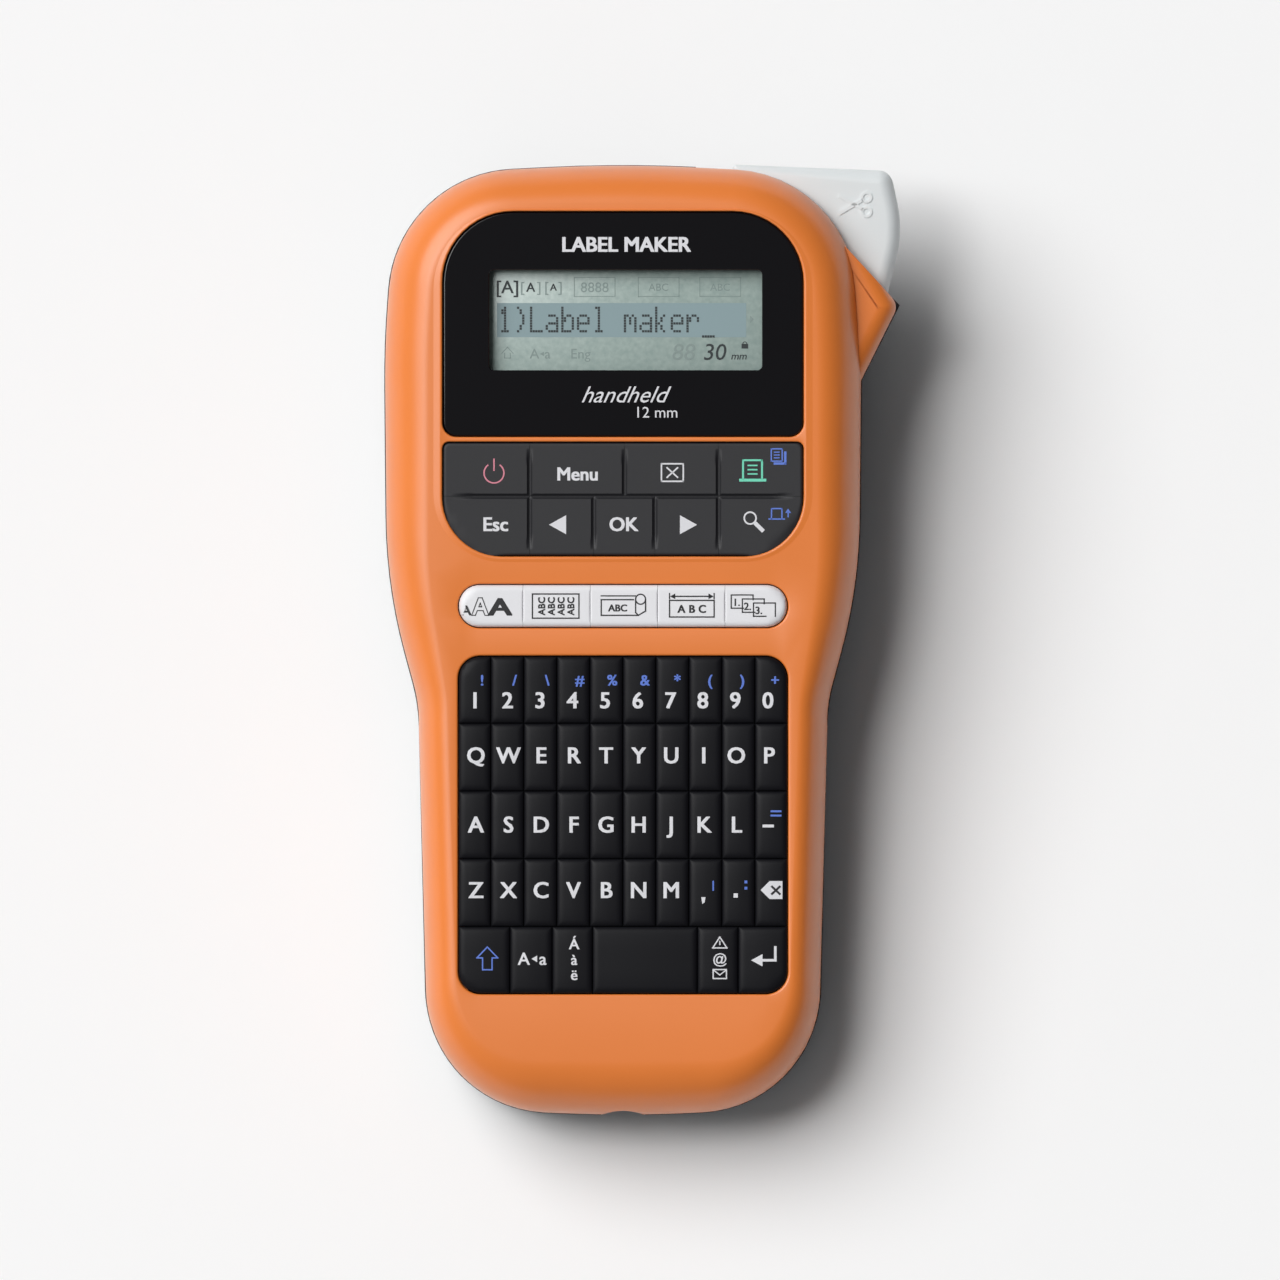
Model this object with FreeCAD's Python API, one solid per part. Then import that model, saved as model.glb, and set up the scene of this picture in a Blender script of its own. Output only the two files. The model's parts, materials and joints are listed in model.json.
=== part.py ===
import FreeCAD, Part
import math
import os
from FreeCAD import Vector

# A hand-held label maker with a keyboard, a display, a tape cassette and a cutter lever.
# The shapes are drawn in the casing's own frame: X to the right, Y towards the display end
# and Z out of the front face, whose plane is z = 0. The casing is a wedge, so save() turns
# every piece until its back lies on the level plane z = 0.

# ---- casing ----
DEPTH = 48.5            # front plane to rest plane, on the middle of the length
TILT = 7.0              # angle between the front plane and the rest plane, in degrees
WALL = 2.2              # thickness of the side walls
FACE = 2.4              # thickness of the front face
PARTING = -20.0         # where the front and rear shells meet
EDGE_DROP = 13.0        # depth of the rounding between face and sides
FRONT_STEP = 0.3        # the rear shell stands this far proud of the front shell
BACK_FILLET = 6.0
FAR = 400.0             # half a space, for cutting
# Half of the outline, clockwise from the top: x, y, corner radius, width of the edge rounding.
HALF_OUTLINE = [
    (0.0, 101.1, 312.0, 8.5), (47.8, 98.7, 27.5, 9.0), (50.7, 63.1, 224.0, 9.5),
    (50.2, 11.5, 114.0, 9.0), (43.4, -13.6, 38.0, 6.2), (41.9, -77.4, 28.0, 6.5),
    (35.8, -99.2, 26.4, 11.0), (0.0, -100.9, 314.0, 12.0)]
NOTCH_WIDTH = 9.9       # finger notch at the bottom end
NOTCH_DEPTH = 1.2

# ---- fits ----
GAP = 0.3               # between a fixed piece and one that is dropped in
KEY_GAP = 0.2           # round every key
RUN = 0.05              # radial clearance of a turning fit

# ---- display ----
WINDOW_HALF = 38.1
WINDOW_TOP = 90.5
WINDOW_BOTTOM = 42.9
WINDOW_RADIUS = 15.0
WINDOW_SET_BACK = 0.8
WINDOW_THICK = 1.5
GASKET_THICK = 0.3
LEDGE = 2.6             # width of the ledge that carries the window
LEDGE_THICK = 1.6
LCD_HALF = 31.5
LCD_Y = (53.5, 81.0)
LCD_THICK = 2.6

# ---- keys ----
KEY_TRAVEL = 1.0
FLANGE = 0.9            # how far a key's foot reaches under the face
FLANGE_THICK = 1.0
FLANGE_ROOM = 0.4       # between a key's foot and the window's ledge
FUNCTION_TOP = -0.3
WHITE_TOP = 0.5
CHARACTER_TOP = 0.4
FUNCTION_PAD = (-38.1, 38.1, 17.7, 41.9)
FUNCTION_RADIUS = 12.6  # lower corners
FUNCTION_TOP_RADIUS = 1.5
FUNCTION_SPLIT = 30.4
FUNCTION_UPPER = [-19.7, 0.3, 20.1]
FUNCTION_LOWER = [-19.7, -6.2, 6.7, 20.1]
WHITE_PAD = (-34.8, 34.8, 2.6, 11.9)
WHITE_RADIUS = 4.6
WHITE_SPLITS = [-21.1, -6.9, 7.3, 21.5]
CHARACTER_PAD = (-34.8, 34.8, -74.6, -3.2)
CHARACTER_RADIUS = 4.8
CHARACTER_ROWS = 5
CHARACTER_COLUMNS = 10
BOTTOM_SPLITS = [-23.8, -14.9, -6.4, 15.7, 24.3]
CROWN = 0.8             # edge rounding of a key's top

# ---- board ----
BOARD_TOP = -9.5
BOARD_THICK = 1.6
BOARD_INSET = 5.4
SHEET_THICK = 1.0
SHEET = (-35.5, 35.5, -77.0, 43.5)
SCREW_PLACES = [(-44.6, 30.0), (44.6, 30.0), (-36.0, -79.0), (36.0, -79.0)]
POST_RADIUS = 2.8
SCREW_RADIUS = 1.2
SCREW_HEAD = 2.2
SCREW_LENGTH = 9.0

# ---- compartments, open at the back ----
DECK = -23.5            # top of the compartments' roofs
ROOF = 2.0
RIB = 1.6               # wall round a compartment
BAY_RADIUS = 1.0
TAPE_BAY = (-36.0, 34.5, 5.0, 83.2)
BATTERY_Y = (-76.0, -21.0)
COVER_INSET = 9.1
COVER_THICK = 2.2
SCREW_SEAT = 4.0        # depth of the screws' seats below the parting line
LATCH_HALF = 4.6
LATCH_END = -98.0

# ---- cassette ----
CASSETTE = (-28.0, 19.0, 8.0, 81.0)
CASSETTE_Z = (-45.0, -26.0)
CASSETTE_WALL = 1.4
TAPE_WIDTH = 12.0
ROLL_PLACE = (-5.0, 31.0)
ROLL_RADIUS = 19.0
CORE_RADIUS = 5.0

# ---- feed ----
MODULE = 0.6
MOTOR_TEETH = 12
REDUCTION_TEETH = 44
DRIVE_TEETH = 40
PLATEN_TEETH = 14
BACKLASH = 0.06         # taken off each tooth flank
GEAR_Z = (-20.0, -17.0)
MOTOR_PLACE = (42.2, 40.0)
PLATEN_PLACE = (26.7, 73.0)
DRIVE_BEARING = 210.0   # direction from the platen gear to the drive gear, degrees
PLATEN_RADIUS = 3.7
SHAFT_RADIUS = 1.0
ARM_PIVOT = (29.5, 54.0)
ARM_PIN = 1.2
CABLE_X = (-4.0, 6.0)   # width of the print head's flat cable
CABLE_Z = -30.2         # where it passes through the bay's wall
CABLE_THICK = 0.2
HEAD_FACE = 22.7        # x of the print head's face
CHASSIS_THICK = 1.0
CHASSIS_SIDE = 38.0     # its right-hand edge
CHASSIS_END = 28.0      # its lower edge

# ---- cutter ----
LEVER_Z = (-27.0, -13.8)
LEVER_GAP = 0.4
LEVER_PIVOT = (51.5, 69.5)
LEVER_HUB = 3.2
LEVER_PIN = 1.5
LEVER_ROUND = 2.0
LEVER_INSET = 2.2       # the lever's inner edge, from the outline
RECESS_INSET = 9.0      # room for the lever to swing into
NOSE = [(44.0, 85.9), (47.4, 82.8), (58.6, 71.0), (50.3, 54.5), (44.0, 54.5)]
NOSE_TOP = -9.0
NOSE_BOTTOM = -33.0
DRIVE_PIN = (32.5, 91.0)
DRIVE_PIN_RADIUS = 1.2
SLOT_X = (21.9, 26.1)   # tape slot
SLOT_Z = (-44.0, -29.4)
CUTTER_BAY = (18.0, 38.0, 85.0, 92.9)
CUTTER_BAY_Z = (-45.0, -27.8)
BLADE_Y = (88.8, 89.4)

# ---- power socket ----
JACK_X = -15.0
JACK_Z = -32.0
JACK_HOLE = 5.0
JACK_HALF = 5.5
JACK_DROP = 6.5         # from the socket's axis to the bottom of its block

# ---- batteries: AAA cells side by side ----
CELLS = 6
CELL_RADIUS = 5.2
CELL_LENGTH = 43.5
CELL_ROOM = 0.25        # between neighbours
CELL_SIDE = 0.375       # from the outer cells to the bay's walls
CELL_ROOF = 0.6         # from the cells to the bay's roof
BUTTON_RADIUS = 1.9
BUTTON_LENGTH = 1.0
CONTACT_THICK = 0.5
CELL_END = -71.5

# ---- what follows from the sizes above ----
LEDGE_TOP = -WINDOW_SET_BACK - WINDOW_THICK - GASKET_THICK
LEDGE_LOW = LEDGE_TOP - LEDGE_THICK
FLANGE_Z = (LEDGE_LOW - FLANGE_ROOM - FLANGE_THICK, LEDGE_LOW - FLANGE_ROOM)
BOARD_Z = (BOARD_TOP - BOARD_THICK, BOARD_TOP)
SHEET_Z = (BOARD_TOP, BOARD_TOP + SHEET_THICK)
KEY_FOOT = SHEET_Z[1] + KEY_TRAVEL + GAP
CELL_PITCH = 2 * CELL_RADIUS + CELL_ROOM
CELL_Z = DECK - ROOF - CELL_ROOF - CELL_RADIUS
BATTERY_HALF = (CELLS - 1) / 2 * CELL_PITCH + CELL_RADIUS + CELL_SIDE
BATTERY_BAY = (-BATTERY_HALF, BATTERY_HALF, BATTERY_Y[0], BATTERY_Y[1])


def box(x0, x1, y0, y1, z0, z1):
    return Part.makeBox(x1 - x0, y1 - y0, z1 - z0, Vector(x0, y0, z0))


def rod(place, radius, z0, z1):
    return Part.makeCylinder(radius, z1 - z0, Vector(place[0], place[1], z0))


def rod_y(x, z, radius, y0, y1):
    return Part.makeCylinder(radius, y1 - y0, Vector(x, y0, z), Vector(0, 1, 0))


def rounded_wire(corners, z):
    """A closed wire of straight runs joined by tangent arcs. Corners are x, y, radius."""
    arcs = []
    for i, (x, y, radius) in enumerate(corners):
        here = Vector(x, y, z)
        following = corners[(i + 1) % len(corners)]
        back = (Vector(corners[i - 1][0], corners[i - 1][1], z) - here).normalize()
        ahead = (Vector(following[0], following[1], z) - here).normalize()
        half = back.getAngle(ahead) / 2
        middle = (back + ahead).normalize()
        centre = here + middle * (radius / math.sin(half))
        run = radius / math.tan(half)
        arcs.append((here + back * run, centre - middle * radius, here + ahead * run))
    edges = []
    for i, (start, way, end) in enumerate(arcs):
        edges.append(Part.Arc(start, way, end).toShape())
        edges.append(Part.LineSegment(end, arcs[(i + 1) % len(arcs)][0]).toShape())
    return Part.Wire(edges)


def inset(corners, amounts):
    """The same clockwise outline with each corner moved inwards by its own amount."""
    moved = []
    for i, (x, y, radius) in enumerate(corners):
        here = Vector(x, y, 0)
        following = corners[(i + 1) % len(corners)]
        back = (Vector(corners[i - 1][0], corners[i - 1][1], 0) - here).normalize()
        ahead = (Vector(following[0], following[1], 0) - here).normalize()
        half = back.getAngle(ahead) / 2
        side = 1 if back.cross(ahead).z > 0 else -1
        place = here + (back + ahead).normalize() * (side * amounts[i] / math.sin(half))
        moved.append((place.x, place.y, radius - side * amounts[i]))
    return moved


def prism(corners, z0, z1):
    return Part.Face(rounded_wire(corners, z0)).extrude(Vector(0, 0, z1 - z0))


def polygon(points, z0, z1):
    wire = Part.makePolygon([Vector(x, y, z0) for x, y in points + points[:1]])
    return Part.Face(wire).extrude(Vector(0, 0, z1 - z0))


def pad(limits, radius, grow, z0, z1, lower_radius=None):
    """A rounded rectangle from its limits x0, x1, y0, y1, grown outwards."""
    x0, x1, y0, y1 = limits
    lower = radius if lower_radius is None else lower_radius
    return prism([(x0 - grow, y1 + grow, radius + grow), (x1 + grow, y1 + grow, radius + grow),
                  (x1 + grow, y0 - grow, lower + grow), (x0 - grow, y0 - grow, lower + grow)],
                 z0, z1)


OUTLINE = [c[:3] for c in HALF_OUTLINE] + [
    (-c[0], c[1], c[2]) for c in reversed(HALF_OUTLINE[1:-1])]
ROUNDING = [c[3] for c in HALF_OUTLINE] + [c[3] for c in reversed(HALF_OUTLINE[1:-1])]
TO_ROW = FreeCAD.Placement(
    Vector(0, -DEPTH * math.sin(math.radians(TILT)), DEPTH * math.cos(math.radians(TILT))),
    FreeCAD.Rotation(Vector(1, 0, 0), TILT))


def outline_prism(amount, z0, z1):
    return prism(inset(OUTLINE, [amount] * len(OUTLINE)), z0, z1)


def rest_slab(low, high):
    """The space between two heights above the rest plane, in the casing's frame."""
    slab = box(-FAR, FAR, -FAR, FAR, low, high)
    slab.Placement = TO_ROW.inverse()
    return slab


def save(name, shape):
    if isinstance(shape, list):
        shape = Part.makeCompound(shape)
    placed = shape.copy()
    placed.Placement = TO_ROW.multiply(placed.Placement)
    placed.exportStep("parts/" + name + ".step")


# ---------------------------------------------------------------- casing

def domed(extra, top):
    """The front casing's volume: a prism that rounds over to the face on a quarter ellipse."""
    steps = 6
    sections = []
    for i in range(steps + 1):
        turn = math.radians(90 * i / steps)
        amounts = [extra + width * (1 - math.cos(turn)) for width in ROUNDING]
        sections.append(rounded_wire(inset(OUTLINE, amounts), top - EDGE_DROP * (1 - math.sin(turn))))
    dome = Part.makeLoft(sections, True, False)
    return dome.fuse(outline_prism(extra, PARTING, top - EDGE_DROP)).removeSplitter()


def finger_notch():
    radius = (NOTCH_WIDTH ** 2 / 4 + NOTCH_DEPTH ** 2) / (2 * NOTCH_DEPTH)
    edge = rounded_wire(OUTLINE, 0).BoundBox.YMin
    return rod((0, edge + NOTCH_DEPTH - radius), radius, -FAR, 1)


def corner_box(z0, z1):
    """The corner of the casing that the cutter lever swings in."""
    return box(SLOT_X[0] - 6.5, FAR, LEVER_PIVOT[1] - LEVER_HUB - 0.8, FAR, z0, z1)


def nose_edge(distance, z0, z1):
    """Everything beyond a line inside the nose's lower edge."""
    tip = Vector(NOSE[2][0], NOSE[2][1], 0)
    low = Vector(NOSE[3][0], NOSE[3][1], 0)
    along = (tip - low).normalize()
    out = Vector(along.y, -along.x, 0)
    start = low - out * distance - along * FAR
    end = tip - out * distance + along * FAR
    corners = [start, end, end + out * FAR, start + out * FAR]
    return polygon([(c.x, c.y) for c in corners], z0, z1)


def lever_recess(z0, z1):
    room = corner_box(z0, z1).cut(outline_prism(RECESS_INSET, z0 - 1, z1 + 1))
    return room.cut(nose_edge(WALL - 0.2, z0 - 1, z1 + 1))


def recess_lining(z0, z1, ceiling, floor):
    """The wall behind the lever, with a plate that closes it above or below."""
    wall_inset = RECESS_INSET + RIB
    block = outline_prism(FRONT_STEP, z0, z1).cut(outline_prism(wall_inset, z0 - 1, z1 + 1))
    frame = corner_box(z0, z1)
    frame.translate(Vector(-RIB, -RIB, 0))
    lining = block.common(frame)
    return lining.cut(lever_recess(floor, ceiling))


def nose(z0, z1, shrink):
    points = [(x - shrink * (i in (2, 3)), y) for i, (x, y) in enumerate(NOSE)]
    return polygon(points, z0, z1).cut(outline_prism(WALL, z0 - 1, z1 + 1))


def front_nose():
    body = nose(PARTING, NOSE_TOP, FRONT_STEP)
    rim = [e for e in body.Edges
           if all(abs(v.Z - NOSE_TOP) < 0.01 for v in e.Vertexes)
           and abs(e.Vertexes[0].X - e.Vertexes[1].X) > 6
           and min(v.Y for v in e.Vertexes) < NOSE[3][1] + 1
           and max(v.Y for v in e.Vertexes) > NOSE[3][1] + 9]
    return body.makeFillet(4.0, rim)


def screw_posts(z0, z1):
    return [rod(place, POST_RADIUS, z0, z1) for place in SCREW_PLACES]


def front_shell():
    outer = domed(FRONT_STEP, 0)
    shell = outer.cut(domed(FRONT_STEP + WALL, -FACE))
    ledge = window_pad(LEDGE, LEDGE_LOW, -FACE + 0.5).common(outer)
    posts = [post.common(outer) for post in screw_posts(PARTING, -4.0)]
    lining = recess_lining(PARTING, LEVER_Z[1] - 1.6, LEVER_Z[1] + LEVER_GAP, PARTING)
    shell = shell.fuse([ledge, front_nose(), lining] + posts)
    cuts = [window_pad(0.1, LEDGE_TOP, 1),
            window_pad(-LEDGE, LEDGE_LOW - 1, 1),
            pad(FUNCTION_PAD, FUNCTION_TOP_RADIUS, 0, -EDGE_DROP, 1, FUNCTION_RADIUS),
            pad(WHITE_PAD, WHITE_RADIUS, 0, -EDGE_DROP, 1),
            pad(CHARACTER_PAD, CHARACTER_RADIUS, 0, -EDGE_DROP, 1),
            lever_recess(PARTING - 1, LEVER_Z[1] + LEVER_GAP),
            rod(LEVER_PIVOT, LEVER_PIN, LEVER_Z[1] - 1, LEVER_Z[1] + 2.4),
            finger_notch()]
    cuts += [rod(place, SCREW_RADIUS, PARTING - 1, PARTING + SCREW_LENGTH) for place in SCREW_PLACES]
    return shell.cut(cuts).removeSplitter()


def window_pad(grow, z0, z1):
    limits = (-WINDOW_HALF, WINDOW_HALF, WINDOW_BOTTOM, WINDOW_TOP)
    return pad(limits, WINDOW_RADIUS, grow, z0, z1, LEDGE + 0.4)


def bay(limits, grow, z0, z1):
    return pad(limits, BAY_RADIUS, grow, z0, z1)


def cover_solid(grow, low, high):
    plate = outline_prism(COVER_INSET - grow, -FAR, PARTING)
    tongue = box(-LATCH_HALF - grow, LATCH_HALF + grow, LATCH_END - grow, BATTERY_Y[0], -FAR, PARTING)
    return plate.fuse(tongue).common(rest_slab(low, high))


def rear_shell():
    solid = outline_prism(0, -FAR, PARTING).common(rest_slab(0, FAR))
    rim = [e for e in solid.Edges
           if all(abs(TO_ROW.multVec(v.Point).z) < 0.001 for v in e.Vertexes)]
    solid = solid.makeFillet(BACK_FILLET, rim)
    hollow = outline_prism(WALL, -FAR, PARTING + 1).common(rest_slab(WALL, FAR))
    floor = LEVER_Z[0] - LEVER_GAP
    extras = [bay(TAPE_BAY, RIB, -FAR, DECK), bay(BATTERY_BAY, RIB, -FAR, DECK),
              box(CUTTER_BAY[0] - RIB, CUTTER_BAY[1] + RIB, TAPE_BAY[3], FAR,
                  CUTTER_BAY_Z[0] - RIB, floor),
              box(JACK_X - JACK_HALF - 1.5, JACK_X + JACK_HALF + 1.5, TAPE_BAY[3] + 2, FAR, -FAR,
                  JACK_Z - JACK_DROP)]
    extras += screw_posts(-FAR, PARTING)
    extras = [extra.common(solid) for extra in extras]
    shell = solid.cut(hollow).fuse(extras)
    lining = recess_lining(floor - RIB, PARTING, PARTING, floor)
    shell = shell.fuse([nose(NOSE_BOTTOM, PARTING, 0), lining])
    cuts = [bay(TAPE_BAY, 0, -FAR, DECK - ROOF), bay(BATTERY_BAY, 0, -FAR, DECK - ROOF),
            cover_solid(GAP, -1, COVER_THICK + 0.1),
            lever_recess(floor, PARTING + 1),
            box(CUTTER_BAY[0], CUTTER_BAY[1], CUTTER_BAY[2], CUTTER_BAY[3], *CUTTER_BAY_Z),
            box(SLOT_X[0] - 0.9, CUTTER_BAY[1], CUTTER_BAY[2], CUTTER_BAY[3] + 6, floor - 0.5,
                LEVER_Z[0] + 3.4),
            box(SLOT_X[0], SLOT_X[1], TAPE_BAY[3] - 2, FAR, *SLOT_Z),
            rod(LEVER_PIVOT, LEVER_PIN, NOSE_BOTTOM + 2.0, PARTING),
            rod_y(JACK_X, JACK_Z, JACK_HOLE, TAPE_BAY[3] + 2, FAR),
            rod(PLATEN_PLACE, 3.2, DECK - ROOF - 1, DECK + 1),
            rod(gear_places()["drive"], SHAFT_RADIUS + 0.3, DECK - ROOF - 1, DECK + 1),
            box(CABLE_X[0] - GAP, CABLE_X[1] + GAP, TAPE_BAY[3] - 1, TAPE_BAY[3] + RIB + 1,
                CABLE_Z - 0.4, CABLE_Z + 0.6),
            spring_well(),
            finger_notch()]
    for place in SCREW_PLACES:
        cuts.append(rod(place, SCREW_RADIUS + 0.2, -FAR, PARTING + 1))
        cuts.append(rod(place, SCREW_HEAD + 0.2, -FAR, PARTING - SCREW_SEAT))
    arm_pin = rod(ARM_PIVOT, ARM_PIN, platen_levels()[1] - 2.0, DECK - ROOF + 0.5)
    return shell.cut(cuts).fuse(arm_pin).removeSplitter()


def spring_well():
    """Room under the lever for its spring."""
    x, y = LEVER_PIVOT
    low, high = spring_levels()
    well = rod(LEVER_PIVOT, 3.0, low - 0.3, high + 1)
    legs = [box(x - 9, x, y + 1.6, y + 2.9, low - 0.3, high + 1),
            box(x + 1.6, x + 2.9, y, y + 6.3, low - 0.3, high + 1)]
    return well.fuse(legs)


def spring_levels():
    high = LEVER_Z[0] - LEVER_GAP - 0.6
    return high - 3.8, high


def back_cover():
    plate = cover_solid(0, 0, COVER_THICK)
    grips = [box(-LATCH_HALF + 1, LATCH_HALF - 1, LATCH_END + 2 * i, LATCH_END + 2 * i + 0.9, -FAR, 0)
             .common(rest_slab(-1, 0.5)) for i in range(1, 4)]
    return plate.cut(grips)


def case_screws():
    screws = []
    for place in SCREW_PLACES:
        seat = PARTING - SCREW_SEAT
        shank = rod(place, SCREW_RADIUS, seat, PARTING + SCREW_LENGTH - 4.5)
        head = rod(place, SCREW_HEAD, seat - 1.6, seat)
        slot = box(place[0] - 1.6, place[0] + 1.6, place[1] - 0.3, place[1] + 0.3, seat - 1.7, seat - 0.9)
        cross = box(place[0] - 0.3, place[0] + 0.3, place[1] - 1.6, place[1] + 1.6, seat - 1.7, seat - 0.9)
        screws.append(shank.fuse(head).cut([slot, cross]))
    return screws


# ---------------------------------------------------------------- display

def display_window():
    return window_pad(0, -WINDOW_SET_BACK - WINDOW_THICK, -WINDOW_SET_BACK)


def window_gasket():
    ring = window_pad(0, LEDGE_TOP, LEDGE_TOP + GASKET_THICK)
    return ring.cut(window_pad(-LEDGE + 0.2, LEDGE_TOP - 1, LEDGE_TOP + 1))


def lcd_levels():
    top = LEDGE_LOW - GAP
    return top, top - LCD_THICK


def lcd_panel():
    top, bottom = lcd_levels()
    return box(-LCD_HALF, LCD_HALF, LCD_Y[0], LCD_Y[1], bottom, top)


def lcd_holder():
    bottom = lcd_levels()[1]
    frame = box(-LCD_HALF - 1.5, LCD_HALF + 1.5, LCD_Y[0] - 1.5, LCD_Y[1] + 1.5,
                BOARD_Z[1], bottom + 1.2)
    well = box(-LCD_HALF - 0.1, LCD_HALF + 0.1, LCD_Y[0] - 0.1, LCD_Y[1] + 0.1, bottom, bottom + 5)
    window = box(-LCD_HALF + 3, LCD_HALF - 3, LCD_Y[0] + 3, LCD_Y[1] - 3, BOARD_Z[1] - 1, bottom + 1)
    return frame.cut([well, window])


# ---------------------------------------------------------------- keys

def key(limits, radius, lower_radius, cell, top):
    """One key: a pad's share within a cell, with a foot that hooks under the face."""
    x0, x1, y0, y1 = cell
    big = 20.0
    edge = [x0 - big if x0 == limits[0] else x0 + KEY_GAP / 2,
            x1 + big if x1 == limits[1] else x1 - KEY_GAP / 2,
            y0 - big if y0 == limits[2] else y0 + KEY_GAP / 2,
            y1 + big if y1 == limits[3] else y1 - KEY_GAP / 2]
    space = box(edge[0], edge[1], edge[2], edge[3], KEY_FOOT - 1, top + 1)
    body = pad(limits, radius, -KEY_GAP, KEY_FOOT, top, lower_radius).common(space)
    foot = pad(limits, radius, FLANGE, FLANGE_Z[0], FLANGE_Z[1], lower_radius).common(space)
    rim = [e for e in body.Edges if abs(e.BoundBox.ZMin - top) < 0.001]
    return body.makeFillet(CROWN, rim).fuse(foot).removeSplitter()


def function_keys():
    x0, x1, y0, y1 = FUNCTION_PAD
    names = {"upper": ["power_key", "menu_key", "clear_key", "print_key"],
             "lower": ["escape_key", "left_key", "ok_key", "right_key", "preview_key"]}
    rows = {"upper": (FUNCTION_UPPER, FUNCTION_SPLIT, y1), "lower": (FUNCTION_LOWER, y0, FUNCTION_SPLIT)}
    keys = {}
    for row, (splits, low, high) in rows.items():
        stops = [x0] + splits + [x1]
        for i, name in enumerate(names[row]):
            cell = (stops[i], stops[i + 1], low, high)
            keys[name] = key(FUNCTION_PAD, FUNCTION_TOP_RADIUS, FUNCTION_RADIUS, cell, FUNCTION_TOP)
    return keys


def white_keys():
    stops = [WHITE_PAD[0]] + WHITE_SPLITS + [WHITE_PAD[1]]
    names = ["font_key", "frame_key", "cable_key", "length_key", "number_key"]
    keys = {}
    for i, name in enumerate(names):
        cell = (stops[i], stops[i + 1], WHITE_PAD[2], WHITE_PAD[3])
        keys[name] = key(WHITE_PAD, WHITE_RADIUS, WHITE_RADIUS, cell, WHITE_TOP)
    return keys


def character_keys():
    """Four rows of ten keys, each row joined by its foot, and a bottom row of six wider keys."""
    x0, x1, y0, y1 = CHARACTER_PAD
    pitch_y = (y1 - y0) / CHARACTER_ROWS
    pitch_x = (x1 - x0) / CHARACTER_COLUMNS
    keys = {}
    for row in range(CHARACTER_ROWS - 1):
        high = y1 - row * pitch_y
        low = high - pitch_y
        strip = []
        for column in range(CHARACTER_COLUMNS):
            left = x0 + column * pitch_x
            right = x1 if column == CHARACTER_COLUMNS - 1 else left + pitch_x
            strip.append(key(CHARACTER_PAD, CHARACTER_RADIUS, CHARACTER_RADIUS,
                             (left, right, low, high), CHARACTER_TOP))
        web = box(x0 + 1, x1 - 1, low + KEY_GAP, high - KEY_GAP, KEY_FOOT, FLANGE_Z[0])
        names = ["digit_keys", "upper_letter_keys", "middle_letter_keys", "lower_letter_keys"]
        keys[names[row]] = web.fuse(strip)
    stops = [x0] + BOTTOM_SPLITS + [x1]
    names = ["shift_key", "case_key", "accent_key", "space_key", "symbol_key", "enter_key"]
    for i, name in enumerate(names):
        cell = (stops[i], stops[i + 1], y0, y0 + pitch_y)
        keys[name] = key(CHARACTER_PAD, CHARACTER_RADIUS, CHARACTER_RADIUS, cell, CHARACTER_TOP)
    return keys


# ---------------------------------------------------------------- board

def main_board():
    board = outline_prism(BOARD_INSET, *BOARD_Z)
    holes = [rod(place, POST_RADIUS + GAP, -20, 0) for place in SCREW_PLACES]
    return board.cut(holes + [rod((0, -97), 6, -20, 0)])


def keypad_sheet():
    return pad(SHEET, 4.0, 0, *SHEET_Z)


def board_chips():
    low = BOARD_Z[0]
    return [box(-8, 8, -42, -26, low - 2.0, low), box(-26, -16, -30, -22, low - 1.6, low),
            box(-14, 2, 44, 54, low - 2.0, low), box(-30, -22, -58, -50, low - 2.4, low),
            box(16, 22, -60, -50, low - 1.5, low)]


def head_cable():
    """The flat cable from the board to the print head, folded at right angles."""
    fold = CABLE_Z + CABLE_THICK
    inside = TAPE_BAY[3] - 1.6
    outside = TAPE_BAY[3] + RIB + 0.8
    down = box(CABLE_X[0], CABLE_X[1], outside - CABLE_THICK, outside, fold, BOARD_Z[0])
    across = box(CABLE_X[0], HEAD_FACE - 2.7, inside, inside + CABLE_THICK, -42.0, fold)
    joint = box(CABLE_X[0], CABLE_X[1], inside, outside, CABLE_Z, fold)
    return down.fuse([across, joint])


def dc_jack():
    """The power socket: a block behind its round hole, with a centre pin."""
    front = outline_top(JACK_X - JACK_HALF) - WALL - GAP
    back = TAPE_BAY[3] + RIB + GAP
    block = box(JACK_X - JACK_HALF, JACK_X + JACK_HALF, back, front, JACK_Z - JACK_DROP, JACK_Z + JACK_HALF)
    bore = rod_y(JACK_X, JACK_Z, JACK_HOLE - 1.8, back + 1, front + 1)
    pin = rod_y(JACK_X, JACK_Z, 0.8, back + 1, front - 0.5)
    return block.cut(bore).fuse(pin)


def outline_top(x):
    """Where the casing's top end lies at a given x."""
    line = Part.LineSegment(Vector(x, 0, 0), Vector(x, FAR, 0)).toShape()
    return Part.Face(rounded_wire(OUTLINE, 0)).common(line).BoundBox.YMax


# ---------------------------------------------------------------- gears

def circle_meet(first, second, r1, r2):
    """The crossing of two circles that lies to the right of the way from first to second."""
    a = Vector(first[0], first[1], 0)
    way = Vector(second[0], second[1], 0) - a
    apart = way.Length
    along = (r1 ** 2 - r2 ** 2 + apart ** 2) / (2 * apart)
    off = math.sqrt(r1 ** 2 - along ** 2)
    unit = way.normalize()
    place = a + unit * along + Vector(unit.y, -unit.x, 0) * off
    return (place.x, place.y)


def gear_places():
    to_drive = MODULE * (PLATEN_TEETH + DRIVE_TEETH) / 2
    bearing = math.radians(DRIVE_BEARING)
    drive = (PLATEN_PLACE[0] + to_drive * math.cos(bearing),
             PLATEN_PLACE[1] + to_drive * math.sin(bearing))
    middle = circle_meet(drive, MOTOR_PLACE, MODULE * (DRIVE_TEETH + REDUCTION_TEETH) / 2,
                         MODULE * (MOTOR_TEETH + REDUCTION_TEETH) / 2)
    return {"platen": PLATEN_PLACE, "drive": drive, "reduction": middle, "motor": MOTOR_PLACE}


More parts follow.
